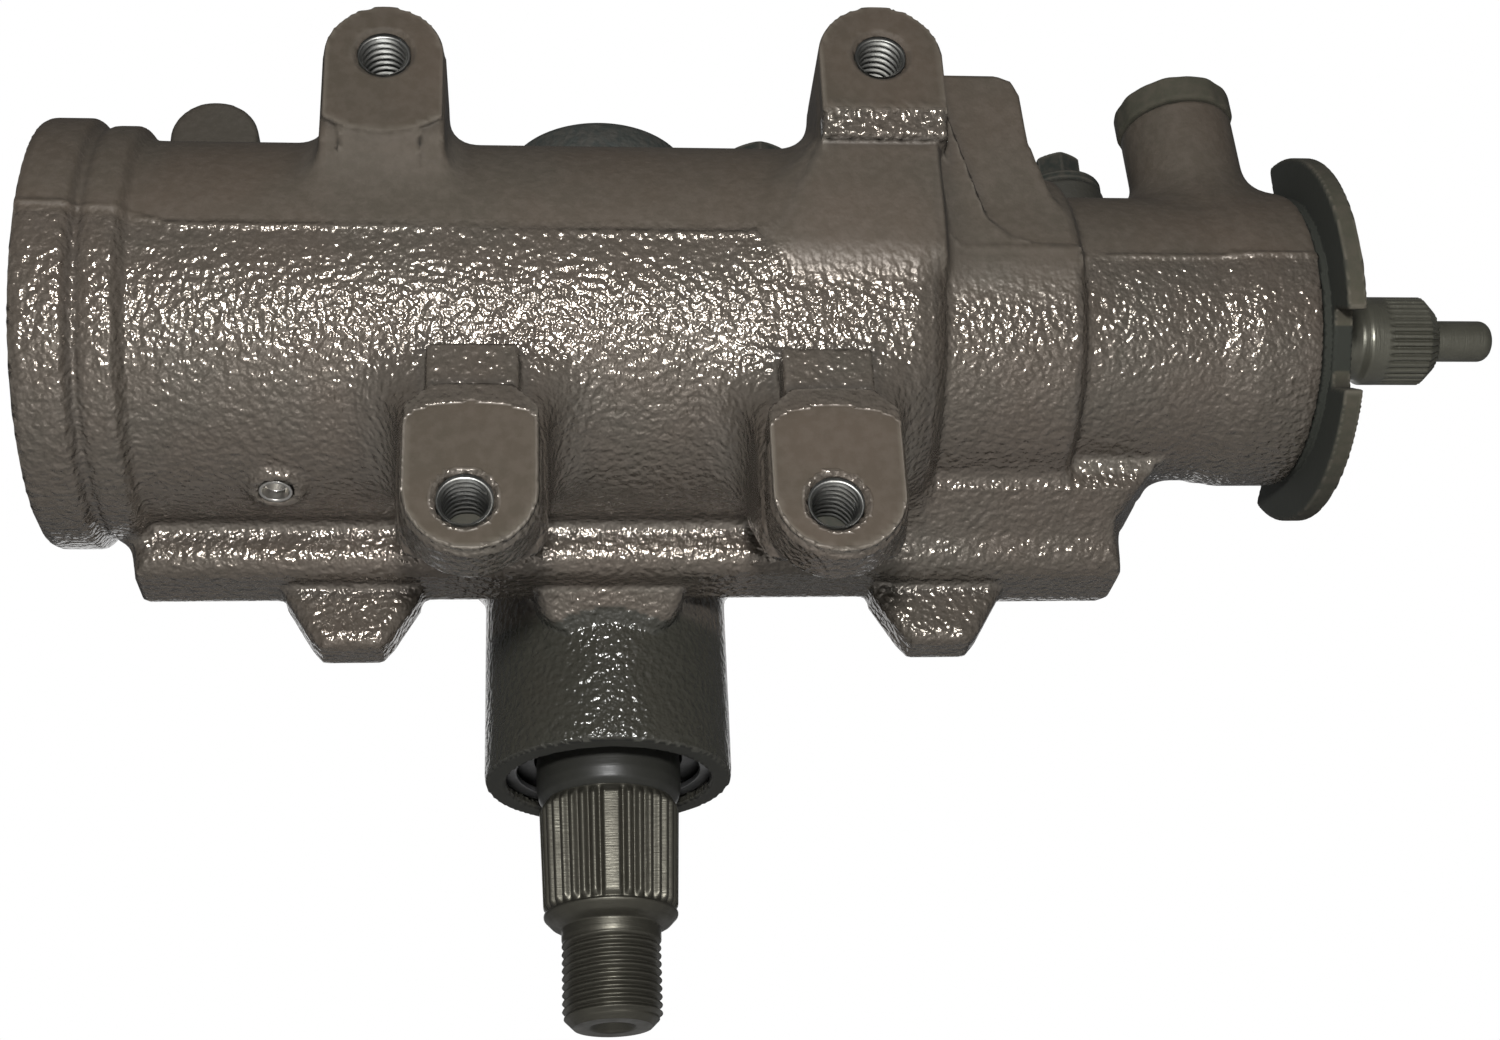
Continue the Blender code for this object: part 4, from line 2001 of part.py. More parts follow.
gear_housing()
side_cover()
side_cover_bolts()
side_cover_gasket()
side_cover_bushing()
lash_adjuster()
end_plug_group()
rack_piston()
piston_ring()
rack_piston_end_plug()
ball_train()
guide_half(1, 1)
guide_half(2, -1)
guide_clamp()
guide_clamp_screws()
worm_shaft()
thrust_set("lower_thrust", BULKHEAD_RIGHT)
valve_body()
spool_valve()
torsion_bar()
stub_shaft()
thrust_set("upper_thrust", VALVE_BODY_RIGHT)
adjuster_plug()
adjuster_plug_fillings()
adjuster_lock_nut()
pitman_shaft()
pitman_fillings()
port_plugs()
oil_passage_plug()
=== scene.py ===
"""Looks of the steering gearbox: casting, machined pieces and finishes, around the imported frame.

Sizes are millimetres along the worm axis (x), towards the side cover's back (y) and up the pitman shaft (z),
counted from where the pitman shaft's axis passes the worm axis. placed() moves them to the part's own frame.
"""

import functools
import json
import math

import bmesh
import bpy
import numpy as np
from mathutils import Matrix, Vector

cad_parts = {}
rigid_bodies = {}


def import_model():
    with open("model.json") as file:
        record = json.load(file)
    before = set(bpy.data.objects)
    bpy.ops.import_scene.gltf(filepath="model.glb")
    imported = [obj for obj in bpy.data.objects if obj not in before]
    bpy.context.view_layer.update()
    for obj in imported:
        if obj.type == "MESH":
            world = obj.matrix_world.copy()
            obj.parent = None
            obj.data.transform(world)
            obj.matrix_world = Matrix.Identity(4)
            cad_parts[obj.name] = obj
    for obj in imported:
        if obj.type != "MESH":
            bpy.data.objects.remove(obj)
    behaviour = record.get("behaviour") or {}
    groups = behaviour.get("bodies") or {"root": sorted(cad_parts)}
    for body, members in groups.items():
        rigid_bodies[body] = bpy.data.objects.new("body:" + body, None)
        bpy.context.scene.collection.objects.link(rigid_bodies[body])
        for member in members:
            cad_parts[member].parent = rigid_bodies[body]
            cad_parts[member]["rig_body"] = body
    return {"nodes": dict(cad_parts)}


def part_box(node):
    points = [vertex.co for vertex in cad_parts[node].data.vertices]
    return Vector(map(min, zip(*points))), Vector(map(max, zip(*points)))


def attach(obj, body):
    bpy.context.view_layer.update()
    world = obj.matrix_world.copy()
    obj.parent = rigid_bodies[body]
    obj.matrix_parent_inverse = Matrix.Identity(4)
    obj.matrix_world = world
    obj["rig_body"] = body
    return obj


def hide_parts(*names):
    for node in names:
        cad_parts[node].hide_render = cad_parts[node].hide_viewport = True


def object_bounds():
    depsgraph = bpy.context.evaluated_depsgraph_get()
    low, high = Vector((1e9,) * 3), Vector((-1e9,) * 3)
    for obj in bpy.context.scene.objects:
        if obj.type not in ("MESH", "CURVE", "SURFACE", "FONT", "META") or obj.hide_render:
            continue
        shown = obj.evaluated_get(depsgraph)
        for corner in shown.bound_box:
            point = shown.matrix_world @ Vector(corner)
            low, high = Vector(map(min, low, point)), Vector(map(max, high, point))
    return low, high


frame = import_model()
cad_low, cad_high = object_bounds()
dressed = set()

INPUT_TIP = 205.25
PITMAN_Y = 54.6

# Barrel of the casting: (station, radius) along x
BARREL_PROFILE = [
    (-120.4, 46.0), (-119.2, 46.95), (-110.0, 46.95), (-108.6, 44.4), (-107.6, 44.5), (-106.2, 45.4),
    (-100.4, 45.4), (-98.6, 42.4), (-96.0, 42.3), (63.5, 42.3), (67.3, 41.2), (69.3, 38.6), (70.2, 36.1),
    (99.6, 36.1), (100.6, 35.0), (101.4, 32.4), (103.0, 32.3), (133.0, 32.3), (134.0, 32.9), (137.0, 33.0),
    (139.4, 33.6), (152.6, 33.6), (153.7, 32.8),
]

# The mould's parting line along the barrel: (station, height), and the ridge that it leaves
PARTING_LINE = [
    (-120, 3), (-96, 2.4), (-90, 0.6), (30, -0.6), (36, 4), (70, 4), (74, 1), (100, 1), (110, 1.5),
    (150, 1.5),
]
RIDGE_HEIGHT = 0.55
RIDGE_WIDTH = 0.7

# Sector chamber and pitman boss: (height, radius) along z
CHAMBER_PROFILE = [
    (-86.1, 27.7), (-85.3, 28.3), (-41.5, 28.3), (-38.0, 29.4), (-32.3, 34.3), (-21.5, 41.6), (-18.0, 42.0),
    (46.0, 42.0),
]

# Side cover's seat: its height, the bolts' places in plan, and its round corners
COVER_SEAT = (37.5, 46.0)
COVER_SPREAD = 38.0
COVER_SIDES = (-COVER_SPREAD, COVER_SPREAD)
COVER_CORNERS = [(across, PITMAN_Y + deep) for across in COVER_SIDES for deep in COVER_SIDES]
COVER_LOBE = 11.0
COVER_THREAD = 5.0
COVER_THREAD_FLOOR = 38.0

# Ears that bolt to the frame rail: the (x, z) of their holes, and their pads
EAR_FACE = -46.0
UPPER_LEFT = (-48.05, 42.4)
UPPER_RIGHT = (58.7, 44.0)
LOWER_EARS = ((-29.7, -64.0), (41.95, -64.9))
EAR_HOLES = (UPPER_LEFT, UPPER_RIGHT, *LOWER_EARS)
EAR_HOLE_RADIUS = 5.56
EAR_HOLE_DEPTH = 18.0
EAR_HOLE_CHAMFER = 1.2
UPPER_LEFT_PAD = 12.6
UPPER_RIGHT_PAD = 13.6
LOWER_PAD = 13.2
LOWER_EAR = 13.9

# Rib under the barrel, its sloped right end and its two lugs, in x and z
RIB_OUTLINE = [
    (-104.0, -18.0), (-104.0, -43.0), (-102.4, -52.0), (114.5, -52.0), (116.0, -37.0), (125.5, -27.0),
    (125.5, -18.0),
]
RIB_DEPTH = (10.6, 31.4)
SHOULDER_END = [(60.0, -28.0), (60.0, -52.5), (113.5, -52.5), (112.8, -43.0), (121.6, -33.2), (121.6, -28.0)]
LUG_STATIONS = (-56.5, 73.5)
LUG_HALF = [(15.5, -46.0), (14.6, -54.0), (9.0, -63.4), (6.5, -66.3)]
LUG_DEPTH = (19.4, 31.4)
REAR_LUG = {"at": (-90.0, 53.0), "drop": 30, "radius": 10.0}
REAR_LUG_DEPTH = (-2.0, 10.0)

# Ports and small bosses
FRONT_PORT = {"at": (136.0, -8.0, 42.0), "lean": math.radians(-2), "radius": 13.0, "rise": 10.8}
REAR_PORT = {"at": (112.0, 14.0, 42.0), "lean": 0.0, "radius": 10.4, "rise": 6.0}
PORT_HOLE = 5.6
CUP_BOSS = {"station": -70.5, "turn": math.radians(10), "radius": 5.7, "top": 43.5, "hole": 3.65}

# The casting's net: the box that it is looked for in, and the size of its cells
CAST_BOX = ((-121, -47, -87), (154, 104, 68))
CAST_CELL = 1.2

# Cover, bolts and lash screw: the dome's (height, radius), and (low, high) of the rest along z
COVER_DOME = [
    (50.0, 27.5), (55.5, 26.6), (57.5, 26.0), (77.0, 25.6), (82.5, 24.2), (84.4, 22.2), (85.0, 19.0),
]
COVER_FLANGE = (47.4, 55.9)
COVER_TOP = 85.0
COVER_HOLLOW = (20.3, 77.0)
BOLT_HOLE = 4.95
BOLT_HEAD = (56.5, 61.8)
BOLT_WASHER = (56.2, 57.3)
BOLT_SHANK = (38.5, 58.0)
LASH_BORE = 4.75
LASH_NUT = (85.3, 92.3)
LASH_TIP = 96.5
LASH_HEAD = (55.3, 58.3)
LASH_HEAD_RADIUS = 7.4

# Lock nut and adjuster plug of the valve bore: radii, and (low, high) along x
RING_PLATE = (155.6, 160.0)
RING_LIP = (154.0, 157.0)
RING_OUTER = 41.75
RING_LIP_OUTER = 32.5
RING_INNER = 28.9
NOTCH_FIRST = 214
NOTCH_HALF = 8.5
NOTCH_DEPTH = 8.6
ADJUSTER = (127.8, 160.2)
ADJUSTER_RADIUS = 28.25
ADJUSTER_CUP = 15.2
ADJUSTER_FLOOR = 132.1
ADJUSTER_HOLE = 12.0
ADJUSTER_GROOVE = (130.6, 133.4)
SPANNER_HOLE = {"off": 21.5, "radius": 2.6, "floor": 154.2}
FRONT_CAP = {"radius": 13.6, "thick": 6.6, "edge": 1.0, "across": 8.6, "head": 1.8, "drip": 0.12}
REAR_CAP = {"radius": 10.0, "thick": 2.6, "edge": 0.6, "across": 10.2, "head": 8.6, "drip": 0.0}
CUP_PROFILE = [(39.9, 0.0), (39.9, 3.55), (43.4, 3.55), (43.4, 2.8), (41.0, 2.6), (40.7, 0.0)]
END_COVER_PROFILE = [
    (-106.7, 0), (-106.7, 39.9), (-109.5, 39.9), (-109.5, 37.6), (-111.9, 37.6), (-111.9, 39.9),
    (-114.7, 39.9), (-114.7, 34.9), (-111.7, 31.9), (-111.7, 0),
]

# Bores of the casting: (station, radius) along x and (height, radius) along z
BORE_PROFILE = [
    (-130.0, 40.2), (-118.2, 40.2), (-118.2, 42.2), (-115.6, 42.2), (-115.6, 40.2), (-106.4, 40.2),
    (-106.4, 37.5), (67.5, 37.5), (67.5, 14.6), (74.5, 14.6), (74.5, 24.7), (127.0, 24.7), (127.0, 28.6),
    (160.0, 28.6),
]
PITMAN_BORE_PROFILE = [
    (-95.0, 23.5), (-83.7, 23.5), (-83.7, 24.7), (-81.8, 24.7), (-81.8, 23.5), (-63.0, 23.5), (-63.0, 21.1),
    (-21.5, 21.1), (-21.5, 36.0), (50.0, 36.0),
]

# Threads and serrations of the shafts and ears
SPLINE_TEETH = 36
SPLINE_SIDES = SPLINE_TEETH * 12
PITMAN_PITCH = 1.81
EAR_THREAD_PITCH = 1.81
LASH_PITCH = 1.25
TURNED_SIDES = 96
SHARP_ANGLE = 35


# Distance forms: each gives the distance in millimetres to a surface, negative inside


def ramp(value, low, high):
    """How far a value has gone from low to high, as a share from 0 to 1."""
    return np.clip((value - low) / (high - low), 0, 1)


def outlined(across, up, corners):
    """Distance to a closed outline, inside where a level ray crosses its edges an odd number of times."""
    nearest = np.full(np.broadcast(across, up).shape, 1e9)
    inside = np.zeros(nearest.shape, bool)
    for (a, b), (c, d) in zip(corners, corners[1:] + corners[:1]):
        run, rise = c - a, d - b
        share = np.clip(((across - a) * run + (up - b) * rise) / (run * run + rise * rise), 0, 1)
        nearest = np.minimum(nearest, (across - a - share * run) ** 2 + (up - b - share * rise) ** 2)
        if rise:
            inside ^= ((b > up) != (d > up)) & (across < run * (up - b) / rise + a)
    return np.where(inside, -1.0, 1.0) * np.sqrt(nearest)


def carried(flat, along, low, high, edge=0.0):
    """An outline carried from low to high, with its rims rounded by edge."""
    side = flat + edge
    end = np.abs(along - (low + high) / 2) - (high - low) / 2 + edge
    return np.minimum(np.maximum(side, end), 0) + np.hypot(np.maximum(side, 0), np.maximum(end, 0)) - edge


def turned_form(along, radius, profile, soften):
    """A profile turned about an axis, first averaged over a bell whose width is soften."""
    step, half = 0.1, 30
    stations, radii = np.array(profile).T
    fine = np.arange(stations[0], stations[-1], step)
    bell = np.exp(-0.5 * (np.arange(-half, half + 1) * step / soften) ** 2)
    level = np.interp(fine, stations, radii)
    level = np.convolve(np.pad(level, half, mode="edge"), bell / bell.sum(), "valid")
    slope = np.gradient(level, step)
    wall = (radius - np.interp(along, fine, level)) / np.sqrt(1 + np.interp(along, fine, slope) ** 2)
    return np.maximum(wall, np.maximum(stations[0] - along, along - stations[-1]))


def bored_form(along, radius, profile):
    """A stepped bore: the outline between the axis and its wall."""
    corners = [(profile[0][0], -1.0), *profile, (profile[-1][0], -1.0)]
    return outlined(along, radius, corners)


def blend(one, other, width):
    """The nearer of two forms, filleted where they are within width of each other."""
    near = np.maximum(width - np.abs(one - other), 0) / width
    return np.minimum(one, other) - near * near * width / 4


def trim(one, other, width):
    """What two forms share, with the edge between them rounded by width."""
    return -blend(-one, -other, width)


def cut(solid, hole, width):
    """A form less another, with the rim rounded by width."""
    return trim(solid, -hole, width)


def leaning(x, y, z, port):
    """Distances off and along the axis of a port that leans in x."""
    px, py, pz = port["at"]
    sine, cosine = math.sin(port["lean"]), math.cos(port["lean"])
    along = (x - px) * sine + (z - pz) * cosine
    return np.hypot((x - px) * cosine - (z - pz) * sine, y - py), along


def slot_distance(x, z, at, drop, radius):
    """Distance to a round-ended tongue that hangs from a point by drop."""
    below = np.clip(at[1] - z, 0, drop)
    return np.hypot(x - at[0], z - at[1] + below) - radius


# The casting


def parting_ridge(x, z):
    """The mould's parting line: a low ridge along the barrel's front, buried by the upper right ear's web."""
    line = np.interp(x, *np.array(PARTING_LINE).T)
    web = ramp(x, 31, 36) * ramp(x, 75, 70)
    return RIDGE_HEIGHT * (1 - web) * np.exp(-(((z - line) / RIDGE_WIDTH) ** 2))


def barrel(x, y, z):
    wall = turned_form(x, np.hypot(y, z), BARREL_PROFILE, 0.6)
    return wall - parting_ridge(x, z) * ramp(y, 0, -20)


def upper_left_ear(x, y, z):
    """A round-topped pad over a web that leans back into the barrel, with a raised strip down its middle."""
    at_x, at_z = UPPER_LEFT
    tongue = slot_distance(x, z, UPPER_LEFT, 44, UPPER_LEFT_PAD)
    crown = np.hypot(x - at_x, z - at_z - 1.6) - 22.0
    pad = carried(trim(tongue, crown, 0.3), y, EAR_FACE, -28, 0.5)
    head = carried(np.maximum(tongue, 22 - z), y, EAR_FACE + 1.6, -24, 1.2)
    lean = [(-44.0, 44.0), (-44.0, 22.0), (-42.6, 18.0), (-37.0, 10.5), (-18.0, 6.0), (-18.0, 44.0)]
    half = UPPER_LEFT_PAD + 0.3
    web = carried(outlined(y, z, lean), x, at_x - half, at_x + half, 1.2)
    raised = [(-44.9, 34.0), (-44.9, 22.3), (-43.4, 18.4), (-38.0, 11.5), (-30.0, 10.0), (-30.0, 34.0)]
    strip = carried(outlined(y, z, raised), x, at_x - 9.0, at_x + 7.9, 0.5)
    return np.minimum(pad, head), np.minimum(web, strip)


def upper_right_ear(x, y, z):
    """A pad over a rough lip and over two webs that widen downwards and sink into the barrel."""
    tongue = slot_distance(x, z, UPPER_RIGHT, 50, UPPER_RIGHT_PAD)
    pad = carried(np.maximum(tongue, 29.5 - z), y, EAR_FACE, -28, 0.5)
    head = carried(np.maximum(tongue, 24 - z), y, EAR_FACE + 1.8, -22, 1.2)
    rough = 0.22 * np.sin(x * 2.9 + 2 * np.sin(z)) * np.sin(z * 2.3 + 1 + np.sin(x * 1.3))
    lip = outlined(y, z, [(-45.6, 31.0), (-45.3, 28.6), (-43.6, 24.8), (-30.0, 22.0), (-30.0, 31.0)])
    web = carried(lip, x, 46.0, 71.8, 0.6) + rough
    broad = [(45.2, 44.0), (44.6, 25.0), (39.4, 3.4), (35.0, -4.0), (69.2, -4.0), (71.2, 22.0), (71.9, 44.0)]
    narrow = [(46.0, 32.0), (42.6, 22.0), (35.5, 5.0), (29.0, -4.0), (60.0, -4.0), (60.0, 32.0)]
    for outline, front, edge, face, foot, bow in (
        (broad, 2.4, 1.0, 2.8, 14, 0.0065),
        (narrow, 5.0, 1.5, 5.6, 16, 0.0045),
    ):
        plate = carried(outlined(x, z, outline), y, EAR_FACE + front, -22, edge)
        bowed = (EAR_FACE + face + np.maximum(foot - z, 0) ** 2 * bow - y) * 0.99
        web = np.minimum(web, trim(plate, bowed, 5.0))
    return np.minimum(pad, head), web


def ear_tower(x, y, z):
    """The plate beside the upper right ear, and the thin step along its foot."""
    face = -36.3
    outline = [
        (66.0, -2.0), (66.0, 48.4), (86.5, 48.4), (90.0, 47.0), (91.6, 43.4), (92.4, 30.0), (95.8, 17.0),
        (99.2, 9.0), (100.0, -2.0),
    ]
    plate = carried(outlined(x, z, outline), y, face + 1.7, -12, 1.2)
    outline = [
        (66.0, -3.0), (66.0, 38.0), (73.8, 38.0), (80.8, 8.0), (85.0, 3.4), (92.0, 0.8), (100.4, 0.4),
        (100.4, -3.0),
    ]
    step = carried(outlined(x, z, outline), y, face, -12, 0.5)
    step = np.maximum(step, (face + np.maximum(5 - z, 0) * 0.12 - y) * 0.99)
    return np.minimum(plate, step)


def lower_ear(x, y, z, hole):
    """A bevelled pad on a thicker ear, the column above it, and the gusset up into the barrel."""
    middle, level = hole[0] + 1.0, hole[1] + 2.7
    side = np.abs(x - middle)
    pad, ear = (
        np.minimum(
            slot_distance(x, z, (middle, level + 12.0), 12.0, radius), np.maximum(side - radius, level - z)
        )
        for radius in (LOWER_PAD, LOWER_EAR)
    )
    shoulder = side * 0.72 + (z - level) * 0.69 - 18.6
    beyond = np.maximum(np.hypot(side, z - level + 10.6) - 28.6, shoulder)
    pad = np.maximum(np.maximum(pad, z - level - 23.6), shoulder - 3.6)
    face = (EAR_FACE + 0.25 * np.maximum(beyond, 0) - y) * 0.97
    pad = trim(carried(pad, y, EAR_FACE, EAR_FACE + 9.0, 0.4), face, 0.4)
    ear = carried(np.maximum(ear, z - level - 12), y, EAR_FACE + 1.6, EAR_FACE + 13.0, 1.6)
    column = carried(np.maximum(side - 9.3, np.abs(z - level - 16) - 18.7), y, EAR_FACE + 4.4, -20, 0.8)
    slope = [
        (-36.0, 24.0), (-40.0, 12.0), (-40.4, 2.0), (-37.0, -4.0), (-30.0, -8.0), (-8.0, 8.0), (-8.0, 34.0),
        (-28.0, 38.0),
    ]
    gusset = carried(outlined(y, z - level, slope), x, middle - 15.0, middle + 15.0, 5.0)
    return pad, column, np.minimum(gusset, ear)


def rib_and_lugs(x, y, z):
    rib = carried(outlined(x, z, RIB_OUTLINE), y, *RIB_DEPTH, 5.5)
    slope = [(-2.0, -34.0), (-1.0, -39.0), (17.0, -52.0), (31.4, -52.0), (31.4, -34.0)]
    shoulder = carried(outlined(y, z, slope), x, 63.0, 126.0, 3.0)
    rib = blend(rib, trim(shoulder, outlined(x, z, SHOULDER_END), 2.0), 3.0)
    for station in LUG_STATIONS:
        left = [(station - off, level) for off, level in LUG_HALF]
        right = [(station + off, level) for off, level in LUG_HALF[::-1]]
        lug = carried(outlined(x, z, left + right), y, *LUG_DEPTH, 3.0)
        rib = blend(rib, lug, 2.0)
    return rib


def boss_flat(x, y, z):
    """The sloping flat that joins the rib's lower edge to the front of the pitman boss."""
    outline = [(25.0, -47.0), (20.6, -52.4), (27.6, -60.0), (36.0, -60.0), (36.0, -47.0)]
    half = 16.5 - 0.09 * np.maximum(-52 - z, 0) ** 2
    return carried(outlined(y, z, outline), x, -half, half, 2.0)


def cover_seat_flat(x, y):
    """Distance to the side cover's square outline with round corners, in plan."""
    across = np.abs(x) - COVER_SPREAD
    deep = np.abs(y - PITMAN_Y) - COVER_SPREAD
    corner = np.hypot(np.maximum(across, 0), np.maximum(deep, 0)) + np.minimum(np.maximum(across, deep), 0)
    return corner - COVER_LOBE


def casting(x, y, z):
    """The whole housing: barrel, chamber, boss, ears, rib and ports, less its bores and holes."""
    radius = np.hypot(y, z)
    pitman_radius = np.hypot(x, y - PITMAN_Y)
    solid = barrel(x, y, z)
    solid = blend(solid, turned_form(z, pitman_radius, CHAMBER_PROFILE, 1.0), 5.0)
    solid = blend(solid, carried(cover_seat_flat(x, y), z, *COVER_SEAT, 1.2), 4.0)
    solid = blend(solid, rib_and_lugs(x, y, z), 4.0)
    for ear, width in ((upper_left_ear, 7.0), (upper_right_ear, 8.0)):
        pad, web = ear(x, y, z)
        solid = blend(blend(solid, web, width), pad, 1.2)
    solid = blend(solid, ear_tower(x, y, z), 1.6)
    for hole in LOWER_EARS:
        pad, column, gusset = lower_ear(x, y, z, hole)
        solid = blend(blend(solid, gusset, 13.0), column, 1.5)
        solid = np.minimum(solid, pad)
    solid = blend(solid, boss_flat(x, y, z), 0.8)
    for port in (FRONT_PORT, REAR_PORT):
        off, along = leaning(x, y, z, port)
        solid = blend(solid, carried(off - port["radius"], along, -20, port["rise"], 1.0), 8.0)
    turn = CUP_BOSS["turn"]
    outward = -z * math.cos(turn) - y * math.sin(turn)
    sideways = y * math.cos(turn) - z * math.sin(turn)
    cup_off = np.hypot(x - CUP_BOSS["station"], sideways)
    cup_boss = carried(cup_off - CUP_BOSS["radius"], outward, 30, CUP_BOSS["top"], 0.6)
    solid = blend(solid, cup_boss, 2.0)
    solid = blend(solid, carried(slot_distance(x, z, **REAR_LUG), y, *REAR_LUG_DEPTH, 1.5), 3.0)
    solid = cut(solid, bored_form(x, radius, BORE_PROFILE), 0.4)
    solid = cut(solid, bored_form(z, pitman_radius, PITMAN_BORE_PROFILE), 0.4)
    for ear_x, ear_z in EAR_HOLES:
        flare = np.clip(EAR_FACE + EAR_HOLE_CHAMFER - y, 0, EAR_HOLE_CHAMFER)
        mouth = np.hypot(x - ear_x, z - ear_z) - EAR_HOLE_RADIUS - flare
        solid = cut(solid, np.maximum(mouth, y - EAR_FACE - EAR_HOLE_DEPTH), 0.3)
    for port in (FRONT_PORT, REAR_PORT):
        off, along = leaning(x, y, z, port)
        solid = cut(solid, np.maximum(off - PORT_HOLE, -22 - along), 0.4)
    solid = cut(solid, np.maximum(cup_off - CUP_BOSS["hole"], CUP_BOSS["top"] - 3.4 - outward), 0.3)
    for bolt_x, bolt_y in COVER_CORNERS:
        off = np.hypot(x - bolt_x, y - bolt_y)
        solid = cut(solid, np.maximum(off - COVER_THREAD, COVER_THREAD_FLOOR - z), 0.3)
    return solid


# Meshes


def placed(points):
    """Millimetres about the pitman axis to metres in the part's frame."""
    return (points - np.array([INPUT_TIP, 0, 0])) / 1000


def in_millimetres(point):
    """The way back from placed(), for a point of the part's frame."""
    return np.array(point) * 1000 + (INPUT_TIP, 0, 0)


def within_box(points):
    """The points pulled in to the solid model's own bounding box."""
    return np.clip(points, in_millimetres(cad_low), in_millimetres(cad_high))


def sampled(form, axes, cell):
    """A form on a grid, worked out block by block, and only in the blocks that its surface can reach."""
    block, far = 12, 1e3
    values = np.full([len(axis) for axis in axes], far, np.float32)
    starts = [np.arange(0, len(axis), block) for axis in axes]
    middles = [axis[np.minimum(start + block // 2, len(axis) - 1)] for axis, start in zip(axes, starts)]
    coarse = form(*np.meshgrid(*middles, indexing="ij", sparse=True))
    reached = np.abs(coarse) < 1.44 * block * cell + 2
    for place in np.argwhere(reached | (coarse < 0)):
        part = tuple(slice(start[n], start[n] + block) for start, n in zip(starts, place))
        near = np.meshgrid(*[axis[p] for axis, p in zip(axes, part)], indexing="ij", sparse=True)
        values[part] = form(*near) if reached[tuple(place)] else -far
    return values


def surface_net(form, low, high, cell):
    """The surface of a distance form as four-sided faces.

    Each grid cell that the surface crosses gets one point, the mean of where it crosses the cell's edges.
    Each crossed grid edge gets one face between its four cells. The points then slide to distance 0, and
    stay in the solid model's box.
    """
    axes = [np.arange(a - 2 * cell, b + 3 * cell, cell) for a, b in zip(low, high)]
    values = sampled(form, axes, cell)
    owners, crossings, quads = [], [], []
    for axis in range(3):
        first, last = [slice(None)] * 3, [slice(None)] * 3
        first[axis], last[axis] = slice(0, -1), slice(1, None)
        start, end = values[tuple(first)], values[tuple(last)]
        crossed = (start < 0) != (end < 0)
        start, end = start[crossed].astype(float), end[crossed].astype(float)
        index = np.argwhere(crossed)
        point = index.astype(float)
        point[:, axis] += start / (start - end)
        around = []
        for step_u, step_v in ((0, 0), (-1, 0), (-1, -1), (0, -1)):
            cells = index.copy()
            cells[:, (axis + 1) % 3] += step_u
            cells[:, (axis + 2) % 3] += step_v
            around.append(np.ravel_multi_index(cells.T, values.shape))
            owners.append(around[-1])
            crossings.append(point)
        quad = np.stack(around, 1)
        quads.append(np.where(start[:, None] < 0, quad, quad[:, ::-1]))
    owners, crossings, quads = np.concatenate(owners), np.concatenate(crossings), np.concatenate(quads)
    cells, owners = np.unique(owners, return_inverse=True)
    count = np.bincount(owners)
    points = np.stack([np.bincount(owners, crossings[:, i]) / count for i in range(3)], 1)
    points = np.array([axis[0] for axis in axes]) + points * cell
    slope = form_slope(form, points)
    slope /= np.maximum((slope**2).sum(1), 0.25)[:, None]
    for _ in range(3):
        points -= slope * np.clip(form(*points.T), -0.5 * cell, 0.5 * cell)[:, None]
    normals = form_slope(form, points)
    normals /= np.maximum(np.linalg.norm(normals, axis=1), 1e-6)[:, None]
    return within_box(points), np.searchsorted(cells, quads), normals


def form_slope(form, points, reach=0.02):
    """A form's change along x, y and z at each point, over a small reach either way."""
    slope = []
    for axis in range(3):
        step = np.zeros(3)
        step[axis] = reach
        slope.append((form(*(points + step).T) - form(*(points - step).T)) / (2 * reach))
    return np.stack(slope, 1)


def in_scene(name, data):
    made = bpy.data.objects.new(name, data)
    bpy.context.scene.collection.objects.link(made)
    return made


def shown(name, mesh, finish, node):
    """A finished mesh as an object that rides on its CAD node's body and takes the node's place."""
    mesh.materials.append(finish)
    piece = in_scene(name, mesh)
    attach(piece, frame["nodes"][node]["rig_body"])
    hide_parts(node)
    dressed.add(node)


def mesh_piece(name, points, faces, finish, node, normals=None, marks=None):
    """One object from points in millimetres and faces of three or four corners."""
    mesh = bpy.data.meshes.new(name)
    groups = faces if isinstance(faces, list) else [faces]
    corners = [face for group in groups for face in group.tolist()]
    mesh.from_pydata(placed(points).tolist(), [], corners, shade_flat=False)
    if normals is None:
        normals = broad_normals(points, groups)
    mesh.normals_split_custom_set_from_vertices(normals.tolist())
    for mark, values in (marks or {}).items():
        layer = mesh.attributes.new(mark, "FLOAT", "POINT")
        layer.data.foreach_set("value", np.asarray(values, np.float32))
    shown(name, mesh, finish, node)


def broad_normals(points, groups):
    """Each point's normal: the mean of the faces round it, by their areas, so that flats stay flat."""
    total = np.zeros_like(points)
    for group in groups:
        face = np.cross(points[group[:, 2]] - points[group[:, 0]], points[group[:, -1]] - points[group[:, 1]])
        for corner in group.T:
            for axis in range(3):
                total[:, axis] += np.bincount(corner, face[:, axis], len(points))
    return total / np.maximum(np.linalg.norm(total, axis=1), 1e-9)[:, None]


def turns(sides):
    """The turn of each spoke of a ring, in radians."""
    return 2 * np.pi * np.arange(sides) / sides


def between_rings(rings, sides, looped=False):
    """The four-sided faces between closed rings of points, numbered ring by ring."""
    row = np.arange(rings if looped else rings - 1)[:, None]
    column = np.arange(sides)
    after, below = (column + 1) % sides, (row + 1) % rings
    ways = [row * sides + column, row * sides + after, below * sides + after, below * sides + column]
    return np.stack(ways, -1).reshape(-1, 4)


